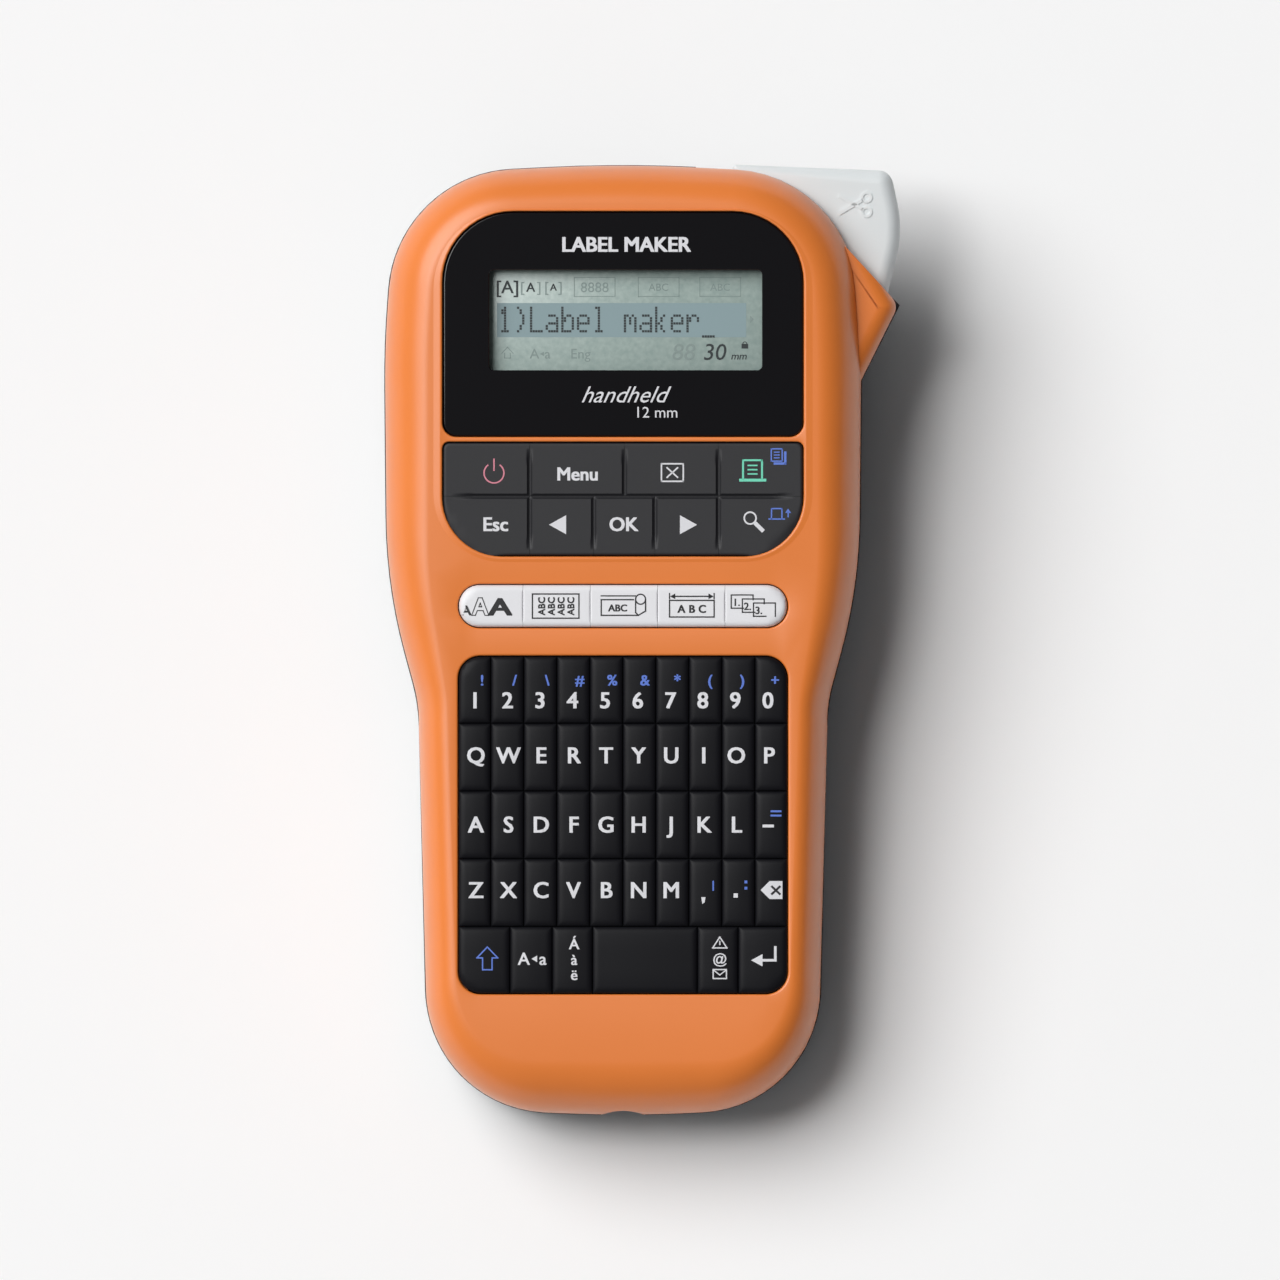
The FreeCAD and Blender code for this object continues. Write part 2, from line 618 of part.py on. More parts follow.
def gear_phases():
    """Turns each gear so that its teeth stand in the gaps of the one before it."""
    order = [("platen", PLATEN_TEETH), ("drive", DRIVE_TEETH),
             ("reduction", REDUCTION_TEETH), ("motor", MOTOR_TEETH)]
    places = gear_places()
    phases = {"platen": 0.0}
    for (before, count), (after, next_count) in zip(order, order[1:]):
        x0, y0 = places[before]
        x1, y1 = places[after]
        bearing = math.atan2(y1 - y0, x1 - x0)
        share = (bearing - phases[before]) / (2 * math.pi / count)
        phases[after] = bearing + math.pi - (0.5 - share) * 2 * math.pi / next_count
    return phases


def gear(name, teeth, bore):
    """A spur gear with involute flanks, each thinned by the backlash."""
    place = gear_places()[name]
    pitch = MODULE * teeth / 2
    pressure = math.radians(25)
    base = pitch * math.cos(pressure)
    tip = pitch + 0.85 * MODULE
    root = pitch - 1.1 * MODULE
    half_tooth = math.pi / (2 * teeth) - BACKLASH / pitch
    flank = []
    for radius in (root, max(base, root), (max(base, root) + pitch) / 2, pitch, (pitch + tip) / 2, tip):
        turn = math.acos(min(1.0, base / radius)) if radius > base else 0.0
        unwound = (math.tan(pressure) - pressure) - (math.tan(turn) - turn)
        flank.append((radius, half_tooth + unwound))
    if flank[0][0] == flank[1][0]:
        flank = flank[1:]
    points = []
    for i in range(teeth):
        middle = gear_phases()[name] + 2 * math.pi * i / teeth
        for radius, half in flank:
            points.append(Vector(place[0] + radius * math.cos(middle - half),
                                 place[1] + radius * math.sin(middle - half), GEAR_Z[0]))
        for radius, half in reversed(flank):
            points.append(Vector(place[0] + radius * math.cos(middle + half),
                                 place[1] + radius * math.sin(middle + half), GEAR_Z[0]))
    blank = Part.Face(Part.makePolygon(points + points[:1])).extrude(Vector(0, 0, GEAR_Z[1] - GEAR_Z[0]))
    return blank.cut(rod(place, bore, GEAR_Z[0] - 1, GEAR_Z[1] + 1))


# ---------------------------------------------------------------- feed

def chassis_plate():
    """A steel plate on the roof of the tape bay, with the fixed gear shaft."""
    places = gear_places()
    top = DECK + CHASSIS_THICK
    plate = box(0, CHASSIS_SIDE, CHASSIS_END, TAPE_BAY[3], DECK, top)
    plate = plate.cut([rod(PLATEN_PLACE, 3.2, -30, -10), lever_tail_room(),
                       rod(places["drive"], SHAFT_RADIUS + RUN, -30, -10)])
    shaft = rod(places["reduction"], SHAFT_RADIUS, DECK, GEAR_Z[1] + 1)
    collar = rod(places["reduction"], SHAFT_RADIUS + 1, top, GEAR_Z[0] - 0.2)
    return plate.fuse([shaft, collar])


def lever_tail_room():
    return outline_prism(0, -30, -10).cut(outline_prism(RECESS_INSET + RIB + GAP, -31, -9)).common(
        box(0, FAR, 50, FAR, -30, -10))


def reduction_gear():
    return gear("reduction", REDUCTION_TEETH, SHAFT_RADIUS + RUN)


def drive_gear():
    """The gear and the shaft that carries the ribbon spindle."""
    place = gear_places()["drive"]
    shaft = rod(place, SHAFT_RADIUS, CASSETTE_Z[1] - 1.0, GEAR_Z[1] + 0.8)
    collar = rod(place, SHAFT_RADIUS + 1, DECK + CHASSIS_THICK + 0.2, GEAR_Z[0])
    return gear("drive", DRIVE_TEETH, SHAFT_RADIUS - 0.1).fuse([shaft, collar])


def ribbon_spindle():
    place = gear_places()["drive"]
    hub = rod(place, 2.4, CASSETTE_Z[0] + 3.0, CASSETTE_Z[1] - 1.0)
    vanes = []
    for i in range(3):
        vane = box(place[0] - 3.0, place[0] + 3.0, place[1] - 0.4, place[1] + 0.4,
                   CASSETTE_Z[0] + 3.0, CASSETTE_Z[1] - 3.0)
        vane.rotate(Vector(place[0], place[1], 0), Vector(0, 0, 1), 60 * i)
        vanes.append(vane)
    return hub.fuse(vanes)


def feed_motor():
    """A flat can motor that stands beside the tape bay."""
    x, y = MOTOR_PLACE
    can = rod(MOTOR_PLACE, 6.0, -42.0, DECK - 0.4).common(box(x - 5, x + 5, y - 6, y + 6, -42, DECK))
    nose_ring = rod(MOTOR_PLACE, 2.0, DECK - 0.4, DECK + 0.6)
    tabs = [box(x - 1, x + 1, y + side * 3.5 - 0.3, y + side * 3.5 + 0.3, -45.0, -42.0) for side in (-1, 1)]
    bracket = box(TAPE_BAY[1] + RIB, x + 5, y - 6.6, y + 6.6, DECK - 1.2, DECK - 0.4)
    bracket = bracket.cut(rod(MOTOR_PLACE, 2.0, DECK - 2, DECK))
    bore = rod(MOTOR_PLACE, SHAFT_RADIUS + RUN, DECK - 8, DECK + 1)
    return can.fuse([nose_ring, bracket] + tabs).cut(bore)


def motor_gear():
    shaft = rod(MOTOR_PLACE, SHAFT_RADIUS, DECK - 7, GEAR_Z[1] + 0.6)
    return gear("motor", MOTOR_TEETH, SHAFT_RADIUS - 0.1).fuse(shaft)


def platen_levels():
    return DECK - ROOF - 1.8, CASSETTE_Z[0] + 1.2


def platen_roller():
    top, bottom = platen_levels()
    rubber = rod(PLATEN_PLACE, PLATEN_RADIUS, bottom, top)
    shaft = rod(PLATEN_PLACE, SHAFT_RADIUS, bottom - 1.4, GEAR_Z[1] + 0.6)
    return rubber.fuse(shaft)


def platen_gear():
    """The gear is a press fit on the roller's shaft."""
    return gear("platen", PLATEN_TEETH, SHAFT_RADIUS)


def roller_arm():
    """A forked arm that holds the platen against the tape and swings on its own pivot."""
    top, bottom = platen_levels()
    x, y = PLATEN_PLACE
    px, py = ARM_PIVOT
    limits = (px - 3.0, px + 2.4, py - 2.6, y + 3.4)
    upper = pad(limits, 2.0, 0, top + 0.2, top + 1.2)
    lower = pad(limits, 2.0, 0, bottom - 1.2, bottom - 0.2)
    web = box(px + 1.2, px + 2.3, py + 4, y + 1, bottom - 1.0, top + 1.0)
    hub = rod(ARM_PIVOT, 2.4, bottom - 1.2, top + 1.2)
    ears = [rod(PLATEN_PLACE, 2.4, top + 0.2, top + 1.2), rod(PLATEN_PLACE, 2.4, bottom - 1.2, bottom - 0.2)]
    arm = upper.fuse([lower, web, hub] + ears)
    return arm.cut([rod(PLATEN_PLACE, SHAFT_RADIUS + RUN, -60, -10),
                    rod(ARM_PIVOT, ARM_PIN + RUN, -60, -10)])


def arm_spring():
    """A leaf spring that presses the arm towards the print head."""
    x = TAPE_BAY[1]
    low, high = -40.0, -32.0
    foot = box(x - 0.4, x, 46.0, 60.0, low, high)
    blade = box(x - 1.2, x - 0.8, 59.0, 68.0, low, high)
    knee = box(x - 1.2, x, 59.0, 60.0, low, high)
    return foot.fuse([blade, knee])


def print_head():
    """The thermal head on its steel post, with the heat sink behind it."""
    y = PLATEN_PLACE[1]
    post = box(HEAD_FACE - 1.6, HEAD_FACE - 0.7, y - 6, y + 7, CASSETTE_Z[0] + 1.5, DECK - ROOF)
    head = box(HEAD_FACE - 0.7, HEAD_FACE, y - 4, y + 4, CASSETTE_Z[0] + 3, DECK - ROOF - 2.5)
    return post.fuse(head)


# ---------------------------------------------------------------- cassette

def cassette_base():
    x0, x1, y0, y1 = CASSETTE
    z0, z1 = CASSETTE_Z
    case = pad(CASSETTE, 3.0, 0, z0 + 3.0, z1)
    inside = pad(CASSETTE, 3.0, -CASSETTE_WALL, z0 + 2, z1 - CASSETTE_WALL)
    post = rod(ROLL_PLACE, CORE_RADIUS - 1.0, z0 + 4.0, z1 - CASSETTE_WALL)
    spindle_hole = rod(gear_places()["drive"], 4.6, z1 - 3, z1 + 1)
    exit_slot = box(x1 - 6, x1 + 1, y1 - 14, y1 - 1.2, z0 + 3.5, z1 - 2.5)
    return case.cut(inside).fuse(post).cut([spindle_hole, exit_slot])


def cassette_lid():
    z0 = CASSETTE_Z[0]
    lid = pad(CASSETTE, 3.0, 0, z0, z0 + 3.0)
    well = pad(CASSETTE, 3.0, -CASSETTE_WALL, z0 + CASSETTE_WALL, z0 + 4)
    view = box(-22, -12, 20, 42, z0 - 1, z0 + 4)
    return lid.cut([well, view])


def tape_roll():
    middle = (CASSETTE_Z[0] + CASSETTE_Z[1]) / 2
    roll = rod(ROLL_PLACE, ROLL_RADIUS, middle - TAPE_WIDTH / 2, middle + TAPE_WIDTH / 2)
    return roll.cut(rod(ROLL_PLACE, CORE_RADIUS, -60, -10))


# ---------------------------------------------------------------- cutter

def cutter_lever():
    """A broad lever round the corner, on a pivot under the nose, with a pin for the cutter."""
    low, high = LEVER_Z
    outline = [(23.0, 100.7, 0.8), (56.4, 99.6, 3.0), (59.3, 87.0, 24.0), (54.7, 69.5, 1.0),
               (46.0, 69.5, 1.0), (30.0, 92.0, 4.0)]
    body = prism(outline, low, high)
    rim = [e for e in body.Edges if abs(e.BoundBox.ZMin - high) < 0.001
           and (e.CenterOfMass.y > 99 or e.CenterOfMass.x > 55.5)]
    body = body.makeFillet(LEVER_ROUND, rim).cut(outline_prism(LEVER_INSET, low - 1, high + 1))
    hub = rod(LEVER_PIVOT, LEVER_HUB, low, high)
    x, y = DRIVE_PIN
    tab = box(x - 1.8, x + 2.6, y - 1.3, y + 8.0, low, low + 2.6)
    tab = tab.common(outline_prism(1.0, low - 1, high))
    pin = rod(DRIVE_PIN, DRIVE_PIN_RADIUS, low - 8.0, low + 1)
    lever = body.fuse([hub, tab, pin])
    return lever.cut(rod(LEVER_PIVOT, LEVER_PIN + RUN, low - 1, high + 1))


def lever_pin():
    return rod(LEVER_PIVOT, LEVER_PIN, NOSE_BOTTOM + 2.0, LEVER_Z[1] + 2.4)


def lever_spring():
    """A torsion spring round the pin, its coils drawn as a plain sleeve with two legs."""
    x, y = LEVER_PIVOT
    low, high = spring_levels()
    sleeve = rod(LEVER_PIVOT, 2.7, low, high).cut(rod(LEVER_PIVOT, 1.8, low - 1, low + 5))
    legs = [box(x - 8, x, y + 1.9, y + 2.6, low, low + 0.7),
            box(x + 1.9, x + 2.6, y, y + 6, high - 0.7, high)]
    return sleeve.fuse(legs)


def blade_holder():
    x, y = DRIVE_PIN
    z0, z1 = CUTTER_BAY_Z[0] + GAP, CUTTER_BAY_Z[1] - GAP
    block = box(SLOT_X[1] + 1.1, x + 3.4, CUTTER_BAY[2] + GAP, CUTTER_BAY[3] - GAP, z0, z1)
    half = DRIVE_PIN_RADIUS + 0.3
    slot = box(x - half, x + half, CUTTER_BAY[2], CUTTER_BAY[3], z1 - 9.0, z1 + 1)
    bed = box(SLOT_X[1], SLOT_X[1] + 3.6, *BLADE_Y, z0 - 1, z1 + 1)
    return block.cut([slot, bed])


def cutter_blade():
    z0, z1 = CUTTER_BAY_Z[0] + GAP, CUTTER_BAY_Z[1] - GAP
    return box(SLOT_X[1] + 0.1, SLOT_X[1] + 3.6, *BLADE_Y, z0 + 0.5, z1 - 0.5)


def cutter_anvil():
    z0, z1 = CUTTER_BAY_Z
    return box(CUTTER_BAY[0], SLOT_X[0], CUTTER_BAY[2], BLADE_Y[1] + 1.6, z0, z1 - 0.5)


# ---------------------------------------------------------------- power

def cell_x(i):
    return (i - (CELLS - 1) / 2) * CELL_PITCH


def batteries():
    cells = []
    for i in range(CELLS):
        way = 1 if i % 2 else -1
        start = CELL_END if way > 0 else CELL_END + BUTTON_LENGTH
        can = rod_y(cell_x(i), CELL_Z, CELL_RADIUS, start, start + CELL_LENGTH)
        tip = CELL_END + CELL_LENGTH if way > 0 else CELL_END
        button = rod_y(cell_x(i), CELL_Z, BUTTON_RADIUS, tip, tip + BUTTON_LENGTH)
        cells.append(can.fuse(button).removeSplitter())
    return cells


def battery_springs():
    """A closed conical spring at the flat end of every cell, on its contact plate."""
    springs = []
    turns = 5
    tail = CELL_END + CELL_LENGTH + BUTTON_LENGTH
    for i in range(CELLS):
        low = i % 2 == 1
        room = (BATTERY_BAY[2] + CONTACT_THICK, CELL_END) if low else (tail, BATTERY_BAY[3] - CONTACT_THICK)
        wire = (room[1] - room[0]) / turns / 2
        rings = []
        for turn in range(turns):
            share = turn / (turns - 1)
            major = 2.2 + 1.8 * (1 - share if low else share)
            y = room[0] + wire * (2 * turn + 1)
            rings.append(Part.makeCylinder(major + 0.35, 2 * wire, Vector(cell_x(i), y - wire, CELL_Z),
                                           Vector(0, 1, 0)))
        body = rings[0].fuse(rings[1:]).cut(rod_y(cell_x(i), CELL_Z, 1.6, room[0] - 1, room[1] + 1))
        springs.append(body)
    return springs


def battery_contacts():
    plates = []
    half = CELL_RADIUS - 0.6
    for i in range(CELLS):
        for y in (BATTERY_BAY[2], BATTERY_BAY[3] - CONTACT_THICK):
            plates.append(box(cell_x(i) - half, cell_x(i) + half, y, y + CONTACT_THICK,
                              CELL_Z - half, CELL_Z + half))
    return plates


def main():
    os.makedirs("parts", exist_ok=True)
    keys = {}
    keys.update(function_keys())
    keys.update(white_keys())
    keys.update(character_keys())
    for name, shape in keys.items():
        save(name, shape)
    makers = [front_shell, rear_shell, back_cover, case_screws, display_window, window_gasket,
              lcd_panel, lcd_holder, main_board, keypad_sheet, board_chips, head_cable, dc_jack,
              chassis_plate, reduction_gear, drive_gear, ribbon_spindle, feed_motor, motor_gear,
              platen_roller, platen_gear, roller_arm, arm_spring, print_head,
              cassette_base, cassette_lid, tape_roll, cutter_lever, lever_pin, lever_spring, blade_holder,
              cutter_blade, cutter_anvil, batteries, battery_springs, battery_contacts]
    for maker in makers:
        save(maker.__name__, maker())


main()
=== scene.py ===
# %% [markdown]
# # A hand-held label maker
# This notebook dresses a working model of a label maker. The mechanism is already there as fixed
# parts, one object for each piece, and it isn't moved or reshaped here. The cells below model the
# pieces that are seen most again, with finer surfaces, and give every piece its finish.
#
# The first cell loads the fixed parts and has a helper that measures the size of the whole object.

# %% Load the fixed parts
import json
import math

import bmesh
import bpy
from mathutils import Matrix, Vector
from mathutils.bvhtree import BVHTree


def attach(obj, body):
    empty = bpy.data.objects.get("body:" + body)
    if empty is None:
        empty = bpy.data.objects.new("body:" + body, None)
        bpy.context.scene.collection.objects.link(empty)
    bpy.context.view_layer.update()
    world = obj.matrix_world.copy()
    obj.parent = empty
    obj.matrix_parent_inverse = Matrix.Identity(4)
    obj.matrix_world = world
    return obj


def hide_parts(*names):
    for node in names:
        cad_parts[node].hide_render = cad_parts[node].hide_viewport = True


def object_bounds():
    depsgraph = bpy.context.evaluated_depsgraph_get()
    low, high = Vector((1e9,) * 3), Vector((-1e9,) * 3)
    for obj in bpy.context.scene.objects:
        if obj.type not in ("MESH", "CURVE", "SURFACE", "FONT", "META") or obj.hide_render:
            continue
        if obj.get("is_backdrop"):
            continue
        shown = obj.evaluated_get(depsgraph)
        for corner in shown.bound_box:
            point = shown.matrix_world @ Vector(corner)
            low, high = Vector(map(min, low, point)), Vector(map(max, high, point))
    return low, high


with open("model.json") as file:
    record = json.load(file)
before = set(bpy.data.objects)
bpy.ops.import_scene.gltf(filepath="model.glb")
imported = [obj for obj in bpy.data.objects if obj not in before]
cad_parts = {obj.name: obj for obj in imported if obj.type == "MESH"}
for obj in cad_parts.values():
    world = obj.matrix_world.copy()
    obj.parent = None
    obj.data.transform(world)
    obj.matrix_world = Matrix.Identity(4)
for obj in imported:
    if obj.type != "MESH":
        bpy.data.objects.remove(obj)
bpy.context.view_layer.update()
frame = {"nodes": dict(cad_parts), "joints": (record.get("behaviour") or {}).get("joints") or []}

# %% [markdown]
# ## The casing's own directions
# The casing is a wedge: lying on its back, its face slopes by 7 degrees. Drawing keys and letters
# on a slope is awkward, so everything is drawn in millimetres in the casing's own directions, where
# the face is the plane z = 0, and one matrix then turns it into place. The slope isn't guessed: the
# cover slides straight out of the back, so its joint already points along the casing's own -Z.

# %% Work out the placing matrix
CASING_DEPTH = 48.5
slide_axis = next(Vector(j["axis"]) for j in frame["joints"] if j["name"] == "cover_lift")
TILT = math.atan2(slide_axis.y, -slide_axis.z)
PLACE = (Matrix.Scale(0.001, 4) @ Matrix.Rotation(TILT, 4, "X")
         @ Matrix.Translation((0, 0, CASING_DEPTH)))
print("face slopes by", round(math.degrees(TILT), 2), "degrees")

# %% [markdown]
# ## Helpers for outlines
# Nearly every part of a moulded product starts as a rounded outline. `loop` makes one as a ring of
# vertices and edges: straight runs joined by arcs, each corner with its own radius. `moved_in`
# gives the same outline with its corners pushed inwards, and it keeps the number of vertices, so
# that two rings can be joined vertex to vertex.

# %% Outlines as rings of edges
ARC_STEPS = 12


def moved_in(corners, amounts):
    """Corners are x, y, radius, listed clockwise. Each moves inwards by its own amount."""
    result = []
    for i, (x, y, radius) in enumerate(corners):
        here = Vector((x, y))
        back = (Vector(corners[i - 1][:2]) - here).normalized()
        ahead = (Vector(corners[(i + 1) % len(corners)][:2]) - here).normalized()
        half = back.angle(ahead) / 2
        side = 1 if back.x * ahead.y - back.y * ahead.x > 0 else -1
        place = here + (back + ahead).normalized() * (side * amounts[i] / math.sin(half))
        result.append((place.x, place.y, max(0.01, radius - side * amounts[i])))
    return result


def outline_points(corners, steps=ARC_STEPS):
    points = []
    for i, (x, y, radius) in enumerate(corners):
        here = Vector((x, y))
        back = (Vector(corners[i - 1][:2]) - here).normalized()
        ahead = (Vector(corners[(i + 1) % len(corners)][:2]) - here).normalized()
        half = back.angle(ahead) / 2
        middle = (back + ahead).normalized()
        centre = here + middle * (radius / math.sin(half))
        start = here + back * (radius / math.tan(half)) - centre
        turn = math.pi - 2 * half
        if back.x * ahead.y - back.y * ahead.x > 0:
            turn = -turn
        for k in range(steps + 1):
            spoke = start.copy()
            spoke.rotate(Matrix.Rotation(turn * k / steps, 2))
            points.append(centre + spoke)
    return points


def loop(bm, points, z):
    """A closed ring of edges through the points, at one height."""
    verts = [bm.verts.new((p.x, p.y, z)) for p in points]
    return [bm.edges.new((a, b)) for a, b in zip(verts, verts[1:] + verts[:1])]


def skin(bm, rings):
    """Joins each ring to the next with a band of four-sided faces."""
    for below, above in zip(rings, rings[1:]):
        for low, high in zip(below, above):
            bm.faces.new((low.verts[0], low.verts[1], high.verts[1], high.verts[0]))


# %% [markdown]
# ## Turning a mesh into a finished piece
# Every new piece ends the same way. Its normals are made to point outwards, edges that are really
# sharp are marked so that the rest can be shaded smooth, and its vertices are moved into place while
# the object itself stays at the origin. It is then told which moving body it rides on.

# %% Finish a piece
SHARP = math.radians(38)


def finished(bm, name, body, material, replaces=(), sharp=SHARP, place=PLACE):
    bmesh.ops.recalc_face_normals(bm, faces=bm.faces[:])
    for face in bm.faces:
        face.smooth = True
    for edge in bm.edges:
        edge.smooth = len(edge.link_faces) != 2 or edge.calc_face_angle(0) < sharp
    if place is not None:
        bm.transform(place)
    mesh = bpy.data.meshes.new(name)
    bm.to_mesh(mesh)
    bm.free()
    mesh.materials.append(material)
    piece = bpy.data.objects.new(name, mesh)
    bpy.context.scene.collection.objects.link(piece)
    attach(piece, body)
    if replaces:
        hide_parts(*replaces)
    print(name, len(mesh.polygons), "faces")
    return piece


# %% [markdown]
# ## Materials
# Moulded plastic is never one flat colour. The finish has a very fine grain that breaks up the
# highlight, and its gloss wanders a little from place to place. One node group holds that and every
# plastic and rubber uses it with its own numbers, so the effect is built once.

# %% The grain group
def socket(group, name, kind, way, default=None):
    made = group.interface.new_socket(name=name, in_out=way, socket_type=kind)
    if default is not None:
        made.default_value = default
    return made


def build_grain_group():
    group = bpy.data.node_groups.new("moulded_grain", "ShaderNodeTree")
    socket(group, "Color", "NodeSocketColor", "INPUT", (0.5, 0.5, 0.5, 1))
    socket(group, "Roughness", "NodeSocketFloat", "INPUT", 0.4)
    socket(group, "Grain Scale", "NodeSocketFloat", "INPUT", 3000.0)
    socket(group, "Cloud Scale", "NodeSocketFloat", "INPUT", 60.0)
    socket(group, "Variation", "NodeSocketFloat", "INPUT", 0.05)
    socket(group, "Color", "NodeSocketColor", "OUTPUT")
    socket(group, "Roughness", "NodeSocketFloat", "OUTPUT")
    socket(group, "Height", "NodeSocketFloat", "OUTPUT")
    nodes, links = group.nodes, group.links
    entry = nodes.new("NodeGroupInput")
    leave = nodes.new("NodeGroupOutput")
    where = nodes.new("ShaderNodeTexCoord")
    grain = nodes.new("ShaderNodeTexNoise")
    grain.inputs["Detail"].default_value = 3.0
    cloud = nodes.new("ShaderNodeTexNoise")
    cloud.inputs["Detail"].default_value = 4.0
    links.new(where.outputs["Object"], grain.inputs["Vector"])
    links.new(where.outputs["Object"], cloud.inputs["Vector"])
    links.new(entry.outputs["Grain Scale"], grain.inputs["Scale"])
    links.new(entry.outputs["Cloud Scale"], cloud.inputs["Scale"])
    centred = nodes.new("ShaderNodeMath")
    centred.operation = "SUBTRACT"
    centred.inputs[1].default_value = 0.5
    links.new(cloud.outputs["Fac"], centred.inputs[0])
    swing = nodes.new("ShaderNodeMath")
    swing.operation = "MULTIPLY"
    links.new(centred.outputs[0], swing.inputs[0])
    links.new(entry.outputs["Variation"], swing.inputs[1])
    rough = nodes.new("ShaderNodeMath")
    rough.operation = "ADD"
    rough.use_clamp = True
    links.new(entry.outputs["Roughness"], rough.inputs[0])
    links.new(swing.outputs[0], rough.inputs[1])
    value = nodes.new("ShaderNodeMath")
    value.operation = "ADD"
    value.inputs[1].default_value = 1.0
    links.new(swing.outputs[0], value.inputs[0])
    tint = nodes.new("ShaderNodeHueSaturation")
    links.new(entry.outputs["Color"], tint.inputs["Color"])
    links.new(value.outputs[0], tint.inputs["Value"])
    links.new(tint.outputs["Color"], leave.inputs["Color"])
    links.new(rough.outputs[0], leave.inputs["Roughness"])
    links.new(grain.outputs["Fac"], leave.inputs["Height"])
    return group


GRAIN = build_grain_group()


def srgb(red, green, blue):
    """A colour given as 0 to 255, as a shader wants it."""
    def channel(c):
        c = c / 255
        return c / 12.92 if c <= 0.04045 else ((c + 0.055) / 1.055) ** 2.4
    return (channel(red), channel(green), channel(blue), 1)


def moulded(name, color, roughness, grain=3000.0, depth=0.00001, strength=0.1, variation=0.05,
            coat=0.0, coat_rough=0.1, metallic=0.0, ior=1.5, specular=0.5):
    material = bpy.data.materials.new(name)
    material.use_nodes = True
    nodes, links = material.node_tree.nodes, material.node_tree.links
    shader = nodes["Principled BSDF"]
    group = nodes.new("ShaderNodeGroup")
    group.node_tree = GRAIN
    group.inputs["Color"].default_value = color
    group.inputs["Roughness"].default_value = roughness
    group.inputs["Grain Scale"].default_value = grain
    group.inputs["Variation"].default_value = variation
    bump = nodes.new("ShaderNodeBump")
    bump.inputs["Strength"].default_value = strength
    bump.inputs["Distance"].default_value = depth
    links.new(group.outputs["Color"], shader.inputs["Base Color"])
    links.new(group.outputs["Roughness"], shader.inputs["Roughness"])
    links.new(group.outputs["Height"], bump.inputs["Height"])
    links.new(bump.outputs["Normal"], shader.inputs["Normal"])
    shader.inputs["Coat Weight"].default_value = coat
    shader.inputs["Coat Roughness"].default_value = coat_rough
    shader.inputs["Metallic"].default_value = metallic
    shader.inputs["IOR"].default_value = ior
    shader.inputs["Specular IOR Level"].default_value = specular
    return material


# %% The finishes
ORANGE = moulded("orange_shell", srgb(234, 129, 55), 0.36, strength=0.25, coat=0.25, coat_rough=0.3)
CHARCOAL = moulded("charcoal_shell", srgb(38, 38, 41), 0.5, grain=2200.0, strength=0.5)
WINDOW = moulded("window_black", srgb(9, 8, 12), 0.16, variation=0.02, strength=0.0, coat=0.3,
                 coat_rough=0.03, specular=0.2)
RUBBER = moulded("key_rubber", srgb(27, 27, 31), 0.55, grain=2600.0, strength=0.35, variation=0.08)
WHITE_KEYS = moulded("key_white", srgb(232, 232, 235), 0.42, strength=0.2)
LEVER_WHITE = moulded("lever_white", srgb(226, 231, 232), 0.38, strength=0.25)
STEEL = moulded("plate_steel", srgb(180, 180, 182), 0.35, metallic=1.0, variation=0.15)
SCREW_BLACK = moulded("screw_steel", srgb(70, 70, 72), 0.4, metallic=1.0)
NATURAL = moulded("gear_plastic", srgb(224, 220, 206), 0.45)
HOLDER = moulded("holder_plastic", srgb(205, 205, 200), 0.5)
BOARD = moulded("board_laminate", srgb(24, 92, 48), 0.35, variation=0.1)
CHIP = moulded("chip_epoxy", srgb(22, 22, 23), 0.5)
FOAM = moulded("gasket_foam", srgb(24, 24, 24), 0.8)
FILM = moulded("cable_film", srgb(222, 214, 190), 0.35)
SOCKET = moulded("socket_plastic", srgb(20, 20, 21), 0.4)
ROLLER = moulded("roller_rubber", srgb(30, 30, 33), 0.7, strength=0.5)
CERAMIC = moulded("head_ceramic", srgb(206, 200, 184), 0.25)
CASSETTE = moulded("cassette_plastic", srgb(58, 58, 62), 0.45)
TAPE = moulded("tape_film", srgb(232, 231, 226), 0.25)
CELL = moulded("cell_jacket", srgb(40, 44, 52), 0.3, coat=0.5)
print("finishes:", len(bpy.data.materials))

# %% [markdown]
# ## The front casing
# The orange casing is one moulding: a shallow tray whose walls sweep over in a wide, soft rounding
# to a flat face. It could be cut from a block, but then the rounding would be as coarse as the cut.
# Here it is skinned from rings instead. Each ring is the outline moved in a bit more and raised a
# bit more, on a quarter ellipse that is wide at the display and narrow at the grip. The grip has two
# faint swellings for the fingers, which push the side walls out by under half a millimetre.

# %% Rings of the casing
FRONT_STEP = 0.3
EDGE_DROP = 13.0
PARTING = -20.0
WALL = 2.2
FACE = 2.4
HALF = [(0.0, 101.1, 312.0, 8.5), (47.8, 98.7, 27.5, 9.0), (50.7, 63.1, 224.0, 9.5),
        (50.2, 11.5, 114.0, 9.0), (43.4, -13.6, 38.0, 6.2), (41.9, -77.4, 28.0, 6.5),
        (35.8, -99.2, 26.4, 11.0), (0.0, -100.9, 314.0, 12.0)]
MIRRORED = [(-x, y, r, w) for x, y, r, w in reversed(HALF[1:-1])]
OUTLINE = [c[:3] for c in HALF + MIRRORED]
ROUNDING = [c[3] for c in HALF + MIRRORED]


def casing_ring(bm, extra, share, z):
    amounts = [extra + width * share for width in ROUNDING]
    return loop(bm, outline_points(moved_in(OUTLINE, amounts)), z)


def pad_corners(limits, radius, low_radius, sides, top, bottom):
    """A rounded rectangle, grown by its own amount at the sides, the top and the bottom."""
    x0, x1, y0, y1 = limits
    high, low = radius + sides, low_radius + sides
    return [(x0 - sides, y1 + top, high), (x1 + sides, y1 + top, high),
            (x1 + sides, y0 - bottom, low), (x0 - sides, y0 - bottom, low)]


